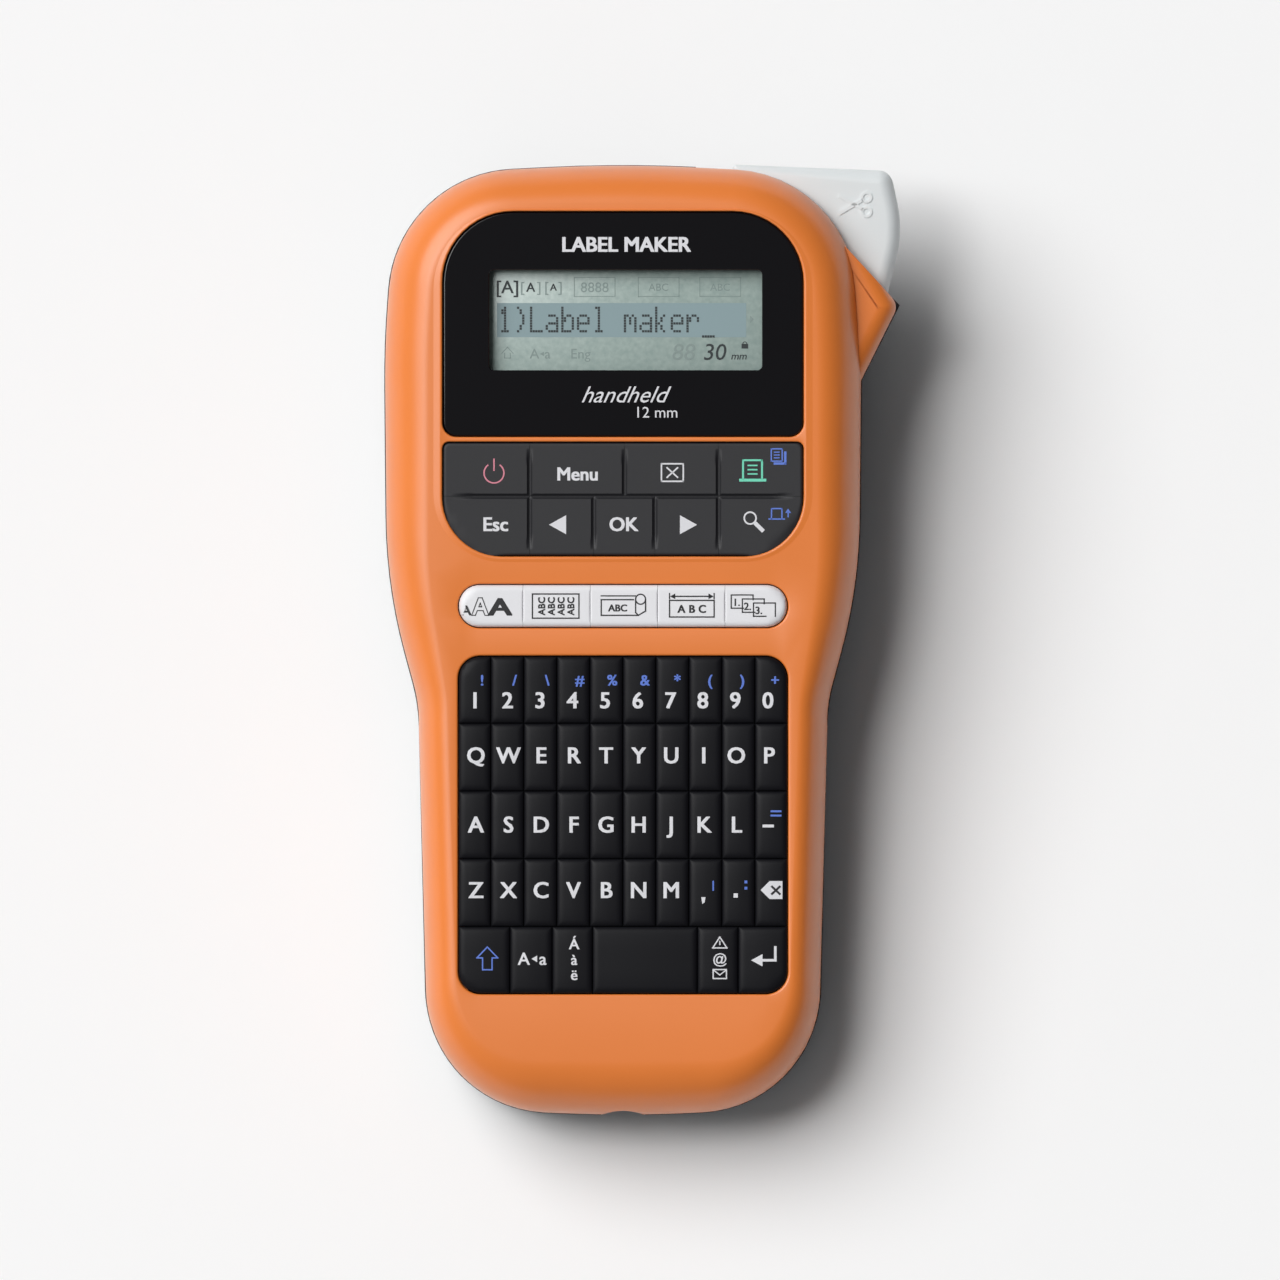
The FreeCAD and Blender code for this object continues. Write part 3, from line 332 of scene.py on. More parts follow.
WINDOW_LIMITS = (-38.1, 38.1, 42.9, 90.5)
FUNCTION_LIMITS = (-38.1, 38.1, 17.7, 41.9)
WHITE_LIMITS = (-34.8, 34.8, 2.6, 11.9)
CHARACTER_LIMITS = (-34.8, 34.8, -74.6, -3.2)
# limits, top radius, bottom radius, the lip's radius at the sides, top and bottom, and the level
FIELD = -0.2
OPENINGS = [(WINDOW_LIMITS, 15.0, 3.0, 0.35, 0.2, 0.3, 0.0),
            (FUNCTION_LIMITS, 1.5, 12.6, 0.35, 0.3, 0.35, 0.0),
            (WHITE_LIMITS, 4.6, 4.6, 0.4, 0.4, 0.4, FIELD),
            (CHARACTER_LIMITS, 4.8, 4.8, 0.5, 0.5, 0.5, FIELD)]
LIP_STEPS = 5
LIP_DEPTH = 0.4


def opening_rings(bm, opening):
    """From the flat face, over a rounded lip and down through the face."""
    limits, radius, low_radius, sides, top, bottom, level = opening
    rings = []
    for k in range(LIP_STEPS + 1):
        turn = math.radians(90 * k / LIP_STEPS)
        out = 1 - math.sin(turn)
        corners = pad_corners(limits, radius, low_radius, sides * out, top * out, bottom * out)
        rings.append(loop(bm, outline_points(corners), level - LIP_DEPTH * (1 - math.cos(turn))))
    rings.append(loop(bm, outline_points(pad_corners(limits, radius, low_radius, 0, 0, 0)), -FACE - 0.2))
    return rings


# %% [markdown]
# The window and the function keys share one frame. It stands a fifth of a millimetre above the rest
# of the face, with a sloping border that catches the light on the left.

# %% Model the front casing
FRAME_LIMITS = (-38.1, 38.1, 17.7, 90.5)


def frame_ring(bm, sides, top, bottom, z):
    return loop(bm, outline_points(pad_corners(FRAME_LIMITS, 15.0, 12.6, sides, top, bottom)), z)


def fill(bm, rings, up):
    edges = [edge for ring_edges in rings for edge in ring_edges]
    bmesh.ops.triangle_fill(bm, use_beauty=True, use_dissolve=False, edges=edges, normal=(0, 0, up))


def front_casing():
    bm = bmesh.new()
    steps = 22
    outer = [casing_ring(bm, FRONT_STEP, 0, PARTING)]
    for k in range(steps + 1):
        turn = math.radians(90 * k / steps)
        outer.append(casing_ring(bm, FRONT_STEP, 1 - math.cos(turn),
                                 FIELD - (EDGE_DROP + FIELD) * (1 - math.sin(turn))))
    skin(bm, outer)
    holes = [opening_rings(bm, opening) for opening in OPENINGS]
    for rings in holes:
        skin(bm, rings)
    border = [frame_ring(bm, 1.9, 0.5, 1.2, FIELD), frame_ring(bm, 1.84, 0.48, 1.16, FIELD + 0.003),
              frame_ring(bm, 0.62, 0.34, 0.6, -0.005), frame_ring(bm, 0.55, 0.32, 0.55, 0.0)]
    skin(bm, border)
    fill(bm, [outer[-1], border[0], holes[2][0], holes[3][0]], 1)
    fill(bm, [border[-1], holes[0][0], holes[1][0]], 1)
    inner = [casing_ring(bm, FRONT_STEP + WALL, 0, PARTING)]
    for k in range(0, steps + 1, 2):
        turn = math.radians(90 * k / steps)
        inner.append(casing_ring(bm, FRONT_STEP + WALL, 1 - math.cos(turn),
                                 -FACE - 0.2 - EDGE_DROP * (1 - math.sin(turn))))
    skin(bm, inner)
    skin(bm, [outer[0], inner[0]])
    fill(bm, [inner[-1]] + [rings[-1] for rings in holes], -1)
    return bm


casing_mesh = front_casing()
print("front casing:", len(casing_mesh.verts), "vertices")

# %% [markdown]
# ## Carving
# The corner behind the cutter lever is cut away from the walls, and the bottom end has a small
# finger notch. Both are cut with a boolean: the piece and a closed cutting shape go in, and the
# result is taken back as a mesh, so that no modifier stays on the piece.

# %% Cut shapes out of a mesh
def carved(bm, cutters, operation="DIFFERENCE"):
    """The mesh with each closed cutter taken away from it, or added to it."""
    for cutter in cutters:
        bmesh.ops.recalc_face_normals(bm, faces=bm.faces[:])
        bmesh.ops.recalc_face_normals(cutter, faces=cutter.faces[:])
        base_mesh = bpy.data.meshes.new("base")
        tool_mesh = bpy.data.meshes.new("tool")
        bm.to_mesh(base_mesh)
        cutter.to_mesh(tool_mesh)
        bm.free()
        cutter.free()
        base = bpy.data.objects.new("base", base_mesh)
        tool = bpy.data.objects.new("tool", tool_mesh)
        bpy.context.scene.collection.objects.link(base)
        bpy.context.scene.collection.objects.link(tool)
        cut = base.modifiers.new("cut", "BOOLEAN")
        cut.object = tool
        cut.operation = operation
        cut.solver = "EXACT"
        bpy.context.view_layer.update()
        evaluated = base.evaluated_get(bpy.context.evaluated_depsgraph_get())
        result = bpy.data.meshes.new_from_object(evaluated)
        bm = bmesh.new()
        bm.from_mesh(result)
        for thing in (base, tool):
            bpy.data.objects.remove(thing)
        for mesh in (base_mesh, tool_mesh, result):
            bpy.data.meshes.remove(mesh)
    return bm


def slab(corners, z0, z1):
    """A closed plate between two heights, from an outline."""
    bm = bmesh.new()
    rings = [loop(bm, outline_points(corners), z) for z in (z0, z1)]
    skin(bm, rings)
    for ring in rings:
        bmesh.ops.contextual_create(bm, geom=ring)
    return bm


def rod(x, y, radius, z0, z1, segments=48):
    bm = bmesh.new()
    bmesh.ops.create_cone(bm, cap_ends=True, segments=segments, radius1=radius, radius2=radius,
                          depth=z1 - z0, matrix=Matrix.Translation((x, y, (z0 + z1) / 2)))
    return bm


LEVER_TOP = -13.8
LEVER_GAP = 0.4
recess = slab([(15.5, 110, 1), (70, 110, 1), (70, 65.5, 1), (15.5, 65.5, 1)],
              PARTING - 1, LEVER_TOP + LEVER_GAP)
NOTCH_RADIUS = 10.8
notch = rod(0, -100.55 + 1.2 - NOTCH_RADIUS, NOTCH_RADIUS, PARTING - 1, 1, 96)
casing_mesh = carved(casing_mesh, [recess, notch])
GRIP_BUMPS = (-23.0, -43.0)
GRIP_WAVE = 5.5
for vert in casing_mesh.verts:
    if abs(vert.co.x) > 33 and -60 < vert.co.y < -8:
        push = 0.42 * sum(math.exp(-((vert.co.y - y) / GRIP_WAVE) ** 2) for y in GRIP_BUMPS)
        reach = min(1.0, (abs(vert.co.x) - 33) / 6)
        vert.co.x += math.copysign(push * reach, vert.co.x)
finished(casing_mesh, "front_casing", "case", ORANGE, ["front_shell"])

# %% [markdown]
# ## The wall behind the lever
# The lever swings in a pocket. Behind it the casing has a curved wall and a roof, which are seen
# when the lever is pressed, so they are cut from one ring of the outline.

# %% Line the lever's pocket
RECESS_INSET = 9.0
LINING = 1.6


def outline_slab(extra, z0, z1):
    return slab(moved_in(OUTLINE, [extra] * len(OUTLINE)), z0, z1)


def corner_slab(grow, z0, z1):
    corners = [(15.4 - grow, 110, 1), (70, 110, 1), (70, 65.5 - grow, 1), (15.4 - grow, 65.5 - grow, 1)]
    return slab(corners, z0, z1)


pocket_top = LEVER_TOP + LEVER_GAP
lining = carved(outline_slab(2.3, PARTING, pocket_top + LINING),
                [outline_slab(RECESS_INSET + LINING, PARTING - 1, 0)])
lining = carved(lining, [corner_slab(LINING, PARTING - 1, 0)], "INTERSECT")
pocket = carved(corner_slab(0, PARTING - 1, pocket_top), [outline_slab(RECESS_INSET, PARTING - 2, 0)])
finished(carved(lining, [pocket]), "pocket_lining", "case", ORANGE)

# %% [markdown]
# ## The nose
# On the right the casing grows a pointed nose that covers the lever's pivot. Its top is a flat
# facet with a rounded lower edge. It is a short extruded polygon whose edges are bevelled, which
# keeps the facet flat and the point crisp.

# %% Model the nose
NOSE_TOP = -9.0
NOSE = [(47.0, 83.2), (58.3, 71.0), (50.0, 54.3), (45.0, 54.3), (45.0, 83.2)]


def nose_cover():
    bm = bmesh.new()
    verts = [bm.verts.new((x, y, PARTING)) for x, y in NOSE]
    base = bm.faces.new(verts)
    made = bmesh.ops.extrude_face_region(bm, geom=[base])
    top = [v for v in made["geom"] if isinstance(v, bmesh.types.BMVert)]
    bmesh.ops.translate(bm, verts=top, vec=(0, 0, NOSE_TOP - PARTING))
    point = [e for e in bm.edges if all(abs(v.co.x - NOSE[1][0]) < 0.01 for v in e.verts)]
    bmesh.ops.bevel(bm, geom=point, offset=2.0, affect="EDGES", segments=6, profile=0.5, material=-1)
    rim = [e for e in bm.edges if all(abs(v.co.z - NOSE_TOP) < 0.01 for v in e.verts)
           and max(v.co.x for v in e.verts) > 50.5 and min(v.co.y for v in e.verts) < 72.5
           and max(v.co.y for v in e.verts) < 75]
    bmesh.ops.bevel(bm, geom=rim, offset=4.0, affect="EDGES", segments=10, profile=0.5, material=-1)
    return bm


nose_mesh = nose_cover()
UNDER_NOSE = [(46.5, 90, 0.5), (65.5, 90, 0.5), (53.6, 66.0, 0.5), (46.5, 66.0, 0.5)]
nose_mesh = carved(nose_mesh, [slab(UNDER_NOSE, PARTING - 1, pocket_top)])
finished(nose_mesh, "casing_nose", "case", ORANGE)

# %% [markdown]
# ## The display window
# The window is a sheet of clear acrylic, printed black behind except for the display's opening.
# Seen from outside it is a deep black gloss plate with a hole. Modelling the hole as a real
# opening gives the display its shadow at the edges, which a painted rectangle can't have.

# %% Model the window
WINDOW_FACE = -0.8
WINDOW_BACK = -2.3
APERTURE = (-28.2, 29.3, 57.0, 78.1)


def window_rings(bm, inset, z):
    return loop(bm, outline_points(pad_corners(WINDOW_LIMITS, 15.0, 3.0, -inset, -inset, -inset)), z)


def aperture_rings(bm, grow, z):
    return loop(bm, outline_points(pad_corners(APERTURE, 1.0, 1.0, grow, grow, grow)), z)


def display_window():
    bm = bmesh.new()
    edge = [window_rings(bm, 0.15, WINDOW_BACK), window_rings(bm, 0.15, WINDOW_FACE - 0.35)]
    for k in range(1, 5):
        turn = math.radians(90 * k / 4)
        edge.append(window_rings(bm, 0.15 + 0.35 * (1 - math.cos(turn)),
                                 WINDOW_FACE - 0.35 * (1 - math.sin(turn))))
    edge.append(window_rings(bm, 0.7, WINDOW_FACE))
    skin(bm, edge)
    hole = [aperture_rings(bm, 0.4, WINDOW_FACE), aperture_rings(bm, 0.15, WINDOW_FACE),
            aperture_rings(bm, 0.03, WINDOW_FACE - 0.12), aperture_rings(bm, 0, WINDOW_BACK)]
    skin(bm, hole)
    fill(bm, [edge[-1], hole[0]], 1)
    fill(bm, [edge[0], hole[-1]], -1)
    return bm


finished(display_window(), "window_plate", "case", WINDOW, ["display_window"])

# %% [markdown]
# ## The liquid crystal display
# The display is a grey-green glass with a darker band where the text being typed is shown. Its
# letters are dots. Each letter is kept as a small table of bits, one bit for each dot, and the rows
# are stretched a little so that the letters come out tall.

# %% Model the display glass
LCD_FACE = -4.5
LCD_GLASS = bpy.data.materials.new("lcd_glass")


def lcd_material():
    LCD_GLASS.use_nodes = True
    nodes, links = LCD_GLASS.node_tree.nodes, LCD_GLASS.node_tree.links
    shader = nodes["Principled BSDF"]
    where = nodes.new("ShaderNodeTexCoord")
    noise = nodes.new("ShaderNodeTexNoise")
    noise.inputs["Scale"].default_value = 900.0
    noise.inputs["Detail"].default_value = 2.0
    ramp = nodes.new("ShaderNodeValToRGB")
    ramp.color_ramp.elements[0].position = 0.3
    ramp.color_ramp.elements[0].color = srgb(150, 168, 163)
    ramp.color_ramp.elements[1].position = 0.75
    ramp.color_ramp.elements[1].color = srgb(168, 184, 178)
    links.new(where.outputs["Object"], noise.inputs["Vector"])
    links.new(noise.outputs["Fac"], ramp.inputs["Fac"])
    links.new(ramp.outputs["Color"], shader.inputs["Base Color"])
    shader.inputs["Roughness"].default_value = 0.32


lcd_material()
LCD_BAND = moulded("lcd_band", srgb(138, 160, 164), 0.35, variation=0.03)
LCD_INK = moulded("lcd_ink", srgb(38, 46, 48), 0.4)
LCD_GHOST = moulded("lcd_ghost", srgb(134, 150, 146), 0.4)


def plate(x0, x1, y0, y1, z0, z1, edge=0.0):
    bm = bmesh.new()
    bmesh.ops.create_cube(bm, size=1)
    bmesh.ops.scale(bm, vec=(x1 - x0, y1 - y0, z1 - z0), verts=bm.verts)
    bmesh.ops.translate(bm, vec=((x0 + x1) / 2, (y0 + y1) / 2, (z0 + z1) / 2), verts=bm.verts)
    if edge:
        bmesh.ops.bevel(bm, geom=bm.edges[:], offset=edge, affect="EDGES", segments=2, profile=0.5,
                        material=-1)
    return bm


finished(plate(-31.5, 31.5, 53.5, 81.0, LCD_FACE - 2.6, LCD_FACE, 0.2), "lcd_glass", "case",
         LCD_GLASS, ["lcd_panel"])
finished(plate(-26.6, 26.0, 64.0, 71.2, LCD_FACE - 0.02, LCD_FACE + 0.02), "lcd_band", "case",
         LCD_BAND)

# %% [markdown]
# ## Words and pictures
# Printed legends are thin shapes lying on a surface. A word is made as a text object, turned into a
# mesh, and laid where it belongs. Lines and arrows are short bars. All of them pass through one
# small sheet of parts, so that a key's whole print is a single mesh.

# %% Lettering helpers
def text_mesh(words, height, shear=0.0):
    """A flat bmesh of a word, centred on the origin, with capitals of the given height."""
    curve = bpy.data.curves.new("word", "FONT")
    curve.body = words
    curve.align_x = "CENTER"
    curve.size = height / 0.729
    curve.shear = shear
    curve.resolution_u = 3
    holder = bpy.data.objects.new("word", curve)
    bpy.context.scene.collection.objects.link(holder)
    bpy.context.view_layer.update()
    mesh = bpy.data.meshes.new_from_object(holder.evaluated_get(bpy.context.evaluated_depsgraph_get()))
    bm = bmesh.new()
    bm.from_mesh(mesh)
    bmesh.ops.translate(bm, vec=(0, -height / 2, 0), verts=bm.verts)
    bpy.data.objects.remove(holder)
    bpy.data.curves.remove(curve)
    bpy.data.meshes.remove(mesh)
    return bm


def merge_into(target, source, matrix=Matrix()):
    """Copies one bmesh into another."""
    source.transform(matrix)
    carrier = bpy.data.meshes.new("carrier")
    source.to_mesh(carrier)
    source.free()
    target.from_mesh(carrier)
    bpy.data.meshes.remove(carrier)


LAYER = 0.006


def word(sheet, words, x, y, height, bold=0.0, shear=0.0, turn=0.0, wide=1.0):
    """Lays a word on a sheet. Bold letters are four copies, each moved a little to a different side."""
    shifts = [(-1, -0.5), (1, -0.5), (-1, 0.5), (1, 0.5)] if bold else [(0, 0)]
    shape_of = Matrix.Rotation(math.radians(turn), 4, "Z") @ Matrix.Diagonal((wide, 1, 1, 1))
    for k, (dx, dy) in enumerate(shifts):
        place = Matrix.Translation((x + bold * dx, y + bold * dy, LAYER * k))
        merge_into(sheet, text_mesh(words, height, shear), place @ shape_of)


def shape(sheet, points):
    sheet.faces.new([sheet.verts.new((x, y, 0)) for x, y in points])


def bar(sheet, x0, y0, x1, y1, width):
    """A straight line with square ends."""
    way = Vector((x1 - x0, y1 - y0)).normalized() * width / 2
    side = Vector((-way.y, way.x))
    shape(sheet, [(x0 - way.x - side.x, y0 - way.y - side.y), (x1 + way.x - side.x, y1 + way.y - side.y),
                  (x1 + way.x + side.x, y1 + way.y + side.y), (x0 - way.x + side.x, y0 - way.y + side.y)])


def path(sheet, points, width, closed=False):
    ends = points[1:] + points[:1] if closed else points[1:]
    for (x0, y0), (x1, y1) in zip(points, ends):
        bar(sheet, x0, y0, x1, y1, width)


def frame_line(sheet, x, y, wide, high, width):
    a, b = wide / 2, high / 2
    path(sheet, [(x - a, y - b), (x + a, y - b), (x + a, y + b), (x - a, y + b)], width, closed=True)


def ring(sheet, x, y, radius, width, start=0, end=360, steps=28):
    """An arc drawn as a flat band."""
    inner, outer = radius - width / 2, radius + width / 2
    turns = [math.radians(start + (end - start) * k / steps) for k in range(steps + 1)]
    for a, b in zip(turns, turns[1:]):
        shape(sheet, [(x + inner * math.cos(a), y + inner * math.sin(a)),
                      (x + outer * math.cos(a), y + outer * math.sin(a)),
                      (x + outer * math.cos(b), y + outer * math.sin(b)),
                      (x + inner * math.cos(b), y + inner * math.sin(b))])


def printed(sheet, name, body, material, z, surface=None, lift=0.03):
    """Lays a sheet of print on a plane, or down onto a surface, and gives it a skin's thickness."""
    bmesh.ops.remove_doubles(sheet, verts=sheet.verts, dist=0.001)
    bmesh.ops.triangulate(sheet, faces=sheet.faces[:])
    for face in sheet.faces:
        face.normal_update()
    flipped = [face for face in sheet.faces if face.normal.z < 0]
    bmesh.ops.reverse_faces(sheet, faces=flipped)
    for vert in sheet.verts:
        level = z
        if surface is not None:
            hit = surface.ray_cast(Vector((vert.co.x, vert.co.y, 30)), Vector((0, 0, -1)))[0]
            level = hit.z if hit else z
        vert.co.z += level + lift
    made = bmesh.ops.extrude_face_region(sheet, geom=sheet.faces[:])
    low = [v for v in made["geom"] if isinstance(v, bmesh.types.BMVert)]
    bmesh.ops.translate(sheet, verts=low, vec=(0, 0, -lift * 0.9))
    return finished(sheet, name, body, material)


# %% [markdown]
# ## What the display shows
# A row of size marks at the top, the label's text in the band with a cursor, and the label's length
# at the bottom. Marks that are switched off still show faintly, as on every such display.

# %% Dot letters
DOT = 0.55
# each letter is five columns of seven dots, the lowest bit at the top
DOTS = {"1": (0, 66, 127, 64, 0), ")": (0, 65, 34, 28, 0), "L": (127, 64, 64, 64, 64),
        "a": (32, 84, 84, 84, 120), "b": (127, 72, 68, 68, 56), "e": (56, 84, 84, 84, 24),
        "l": (0, 65, 127, 64, 0), "m": (124, 4, 24, 4, 120), "k": (127, 16, 40, 68, 0),
        "r": (124, 8, 4, 4, 8), " ": (0, 0, 0, 0, 0)}
TALL = (0, 1, 1, 2, 3, 3, 4, 5, 5, 6)


def dot(sheet, x, y):
    half = DOT * 0.44
    shape(sheet, [(x - half, y - half), (x + half, y - half), (x + half, y + half), (x - half, y + half)])


ink = bmesh.new()
for place, letter in enumerate("1)Label maker"):
    for column, bits in enumerate(DOTS[letter]):
        for row, source in enumerate(TALL):
            if bits >> source & 1:
                dot(ink, -26.0 + DOT * (6 * place + column), 70.2 - DOT * row)
for column in range(5):
    dot(ink, -26.0 + DOT * (6 * 13 + column), 70.2 - DOT * 11)
word(ink, "[A]", -24.4, 74.7, 2.8, 0.04)
word(ink, "A", -19.5, 74.6, 2.0, 0.04)
word(ink, "A", -14.7, 74.6, 1.5, 0.04)
word(ink, "30", 19.2, 61.0, 3.6, 0.01, 0.15)
word(ink, "mm", 24.4, 60.1, 1.6, 0.01, 0.2)
shape(ink, [(25.0, 61.6), (26.4, 61.6), (26.4, 62.6), (25.0, 62.6)])
ring(ink, 25.7, 62.6, 0.42, 0.16, 0, 180, 10)
printed(ink, "lcd_text", "case", LCD_INK, LCD_FACE + 0.02)
ghost = bmesh.new()
for x in (-6.0, 7.5, 20.5):
    frame_line(ghost, x, 74.6, 8.6, 4.0, 0.14)
word(ghost, "ABC", 7.5, 74.6, 1.6)
word(ghost, "ABC", 20.5, 74.6, 1.6)
word(ghost, "8888", -6.0, 74.6, 2.2)
for x, half in ((-19.5, 1.8), (-14.7, 1.5)):
    word(ghost, "[", x - half, 74.7, 2.2)
    word(ghost, "]", x + half, 74.7, 2.2)
word(ghost, "88", 12.6, 61.0, 3.6, 0.0, 0.15)
word(ghost, "A◂a", -17.5, 60.6, 2.2)
word(ghost, "Eng", -9.0, 60.6, 2.2)
path(ghost, [(-25.6, 60.6), (-24.4, 61.9), (-23.2, 60.6)], 0.15)
path(ghost, [(-25.0, 60.6), (-25.0, 59.6), (-23.8, 59.6), (-23.8, 60.6)], 0.15)
shape(ghost, [(26.8, 67.0), (26.8, 68.6), (27.6, 67.8)])
shape(ghost, [(-27.4, 67.0), (-28.2, 67.8), (-27.4, 68.6)])
printed(ghost, "lcd_ghost_text", "case", LCD_GHOST, LCD_FACE + 0.02)

# %% [markdown]
# ## Lettering on the window
# The window carries two plain lines of lettering, printed in a light grey.

# %% Print the window
PRINT_WHITE = moulded("print_white", srgb(222, 222, 226), 0.4, variation=0.02)
sheet = bmesh.new()
word(sheet, "LABEL MAKER", 0.6, 83.6, 3.2, 0.14)
word(sheet, "handheld", 0.0, 52.0, 3.6, 0.0, 0.45)
word(sheet, "12 mm", 7.0, 48.2, 2.4, 0.0)
printed(sheet, "window_print", "case", PRINT_WHITE, WINDOW_FACE)

# %% [markdown]
# ## Keys
# A key's top is a small hill: flat or gently domed in the middle, and rounded over at its edges.
# Each one starts as a grid. The grid's lines crowd together near the edges, where the curve is
# tight, and one function gives the height at every vertex. The grid's border is then extruded down
# into the casing.

# %% Key tops
KEY_GAP = 0.2
SEAM = 0.03
SKIRT = -3.0


def crowd(start, end, fine, coarse):
    """Positions from start to end, close together near both ends."""
    offsets = [0.0, 0.08, 0.2, 0.36, 0.55, 0.8, 1.15, 1.6]
    offsets = [o * fine for o in offsets if o * fine < (end - start) / 2 - 0.2]
    middle = end - start - 2 * offsets[-1]
    count = max(1, round(middle / coarse))
    inner = [offsets[-1] + middle * k / count for k in range(1, count)]
    return [start + o for o in offsets + inner] + [end - o for o in reversed(offsets)]


def clamp_to_pad(x, y, limits, radii, gap):
    """Moves a point that lies outside the pad's rounded corner onto the corner's arc."""
    x0, x1, y0, y1 = limits
    radius = radii[0] if y > (y0 + y1) / 2 else radii[1]
    cx = min(max(x, x0 + radius), x1 - radius)
    cy = min(max(y, y0 + radius), y1 - radius)
    spoke = Vector((x - cx, y - cy))
    reach = radius - gap
    if cx != x and cy != y and spoke.length > reach:
        spoke = spoke.normalized() * reach
        return cx + spoke.x, cy + spoke.y
    return x, y


def pad_distance(x, y, limits, radii):
    """How far a point lies inside the pad's edge."""
    x0, x1, y0, y1 = limits
    radius = radii[0] if y > (y0 + y1) / 2 else radii[1]
    cx = min(max(x, x0 + radius), x1 - radius)
    cy = min(max(y, y0 + radius), y1 - radius)
    if cx != x and cy != y:
        return radius - math.hypot(x - cx, y - cy)
    return min(x - x0, x1 - x, y - y0, y1 - y)


def key_top(limits, radii, cell, height, coarse=1.2):
    """A key's top as a grid over its cell, with its height from a function of x, y and the edges."""
    x0, x1, y0, y1 = cell
    left = x0 + (KEY_GAP if x0 == limits[0] else SEAM)
    right = x1 - (KEY_GAP if x1 == limits[1] else SEAM)
    low = y0 + (KEY_GAP if y0 == limits[2] else SEAM)
    high = y1 - (KEY_GAP if y1 == limits[3] else SEAM)
    xs = crowd(left, right, 1.0, coarse)
    ys = crowd(low, high, 1.0, coarse)
    bm = bmesh.new()
    bmesh.ops.create_grid(bm, x_segments=len(xs) - 1, y_segments=len(ys) - 1, size=0.5)
    for vert in bm.verts:
        column = round((vert.co.x + 0.5) * (len(xs) - 1))
        row = round((vert.co.y + 0.5) * (len(ys) - 1))
        x, y = clamp_to_pad(xs[column], ys[row], limits, radii, KEY_GAP)
        outer = pad_distance(x, y, limits, radii) - KEY_GAP
        inner = min([x - left if x0 != limits[0] else 99, right - x if x1 != limits[1] else 99,
                     y - low if y0 != limits[2] else 99, high - y if y1 != limits[3] else 99])
        vert.co = (x, y, height(x, y, max(0.0, outer), max(0.0, inner), cell))
    rim = [e for e in bm.edges if len(e.link_faces) == 1]
    made = bmesh.ops.extrude_edge_only(bm, edges=rim)
    skirt = [v for v in made["geom"] if isinstance(v, bmesh.types.BMVert)]
    for vert in skirt:
        vert.co.z = SKIRT
    foot = [e for e in made["geom"] if isinstance(e, bmesh.types.BMEdge) and len(e.link_faces) == 1]
    bmesh.ops.contextual_create(bm, geom=foot)
    return bm


def rounded_drop(distance, radius):
    """How far a rounded edge falls away, at a distance inside the edge."""
    if distance >= radius:
        return 0.0
    return radius - math.sqrt(max(0.0, radius ** 2 - (radius - distance) ** 2))


# %% [markdown]
# ### The function pad
# The nine function keys look like one sheet of rubber. Only shallow grooves part them, and the
# grooves stop short of the sheet's outer edge. So the height function sinks a key's edge only
# where the groove runs, and leaves the rest level with its neighbour.

# %% Model the function pad
FUNCTION_TOP = -0.3
FUNCTION_RADII = (1.5, 12.6)
FUNCTION_SPLIT = 30.4
GROOVE_X = (-33.0, 33.4)
GROOVE_Y = (20.2, 39.2)
GROOVE_HALF = 0.55
GROOVE_DEPTH = 0.45


FADE = 0.5


def fade(value, low, high):
    """One between two limits, and a soft fall to nothing outside them."""
    outside = max(low - value, value - high, 0.0)
    return max(0.0, 1 - outside / FADE)


def function_height(x, y, outer, inner, cell):
    top = FUNCTION_TOP - rounded_drop(outer, 0.5) * 0.9
    sink = 0.0
    if abs(y - FUNCTION_SPLIT) < 2:
        share = max(0.0, 1 - abs(y - FUNCTION_SPLIT) / GROOVE_HALF)
        sink = max(sink, math.sin(share * math.pi / 2) * fade(x, *GROOVE_X))
    for edge in cell[:2]:
        if edge not in FUNCTION_LIMITS[:2]:
            share = max(0.0, 1 - abs(x - edge) / GROOVE_HALF)
            sink = max(sink, math.sin(share * math.pi / 2) * fade(y, *GROOVE_Y))
    return top - GROOVE_DEPTH * sink


def cells_of(limits, splits, low, high):
    stops = [limits[0]] + splits + [limits[1]]
    return [(a, b, low, high) for a, b in zip(stops, stops[1:])]


FUNCTION_KEYS = list(zip(["power_key", "menu_key", "clear_key", "print_key"],
                         cells_of(FUNCTION_LIMITS, [-19.7, 0.3, 20.1], FUNCTION_SPLIT, FUNCTION_LIMITS[3])))
FUNCTION_KEYS += list(zip(["escape_key", "left_key", "ok_key", "right_key", "preview_key"],
                          cells_of(FUNCTION_LIMITS, [-19.7, -6.2, 6.7, 20.1],
                                   FUNCTION_LIMITS[2], FUNCTION_SPLIT)))
surfaces = {}
for name, cell in FUNCTION_KEYS:
    top = key_top(FUNCTION_LIMITS, FUNCTION_RADII, cell, function_height, 1.6)
    surfaces[name] = BVHTree.FromBMesh(top)
    finished(top, name + "_cap", name + "_body", RUBBER, [name])

# %% [markdown]
# ### The white strip
# Five white keys share a stadium-shaped opening. They are harder than the rubber keys, with a crisp
# rounded rim, and the lines between them are fine.

# %% Model the white strip
WHITE_TOP = 0.5


def white_height(x, y, outer, inner, cell):
    line = rounded_drop(inner, 0.28) * fade(y, 4.6, 9.9)
    return WHITE_TOP - rounded_drop(outer, 1.1) - line


WHITE_KEYS_ROW = list(zip(["font_key", "frame_key", "cable_key", "length_key", "number_key"],
                          cells_of(WHITE_LIMITS, [-21.1, -6.9, 7.3, 21.5],
                                   WHITE_LIMITS[2], WHITE_LIMITS[3])))
for name, cell in WHITE_KEYS_ROW:
    top = key_top(WHITE_LIMITS, (4.6, 4.6), cell, white_height, 1.2)
    surfaces[name] = BVHTree.FromBMesh(top)
    finished(top, name + "_cap", name + "_body", WHITE_KEYS, [name])

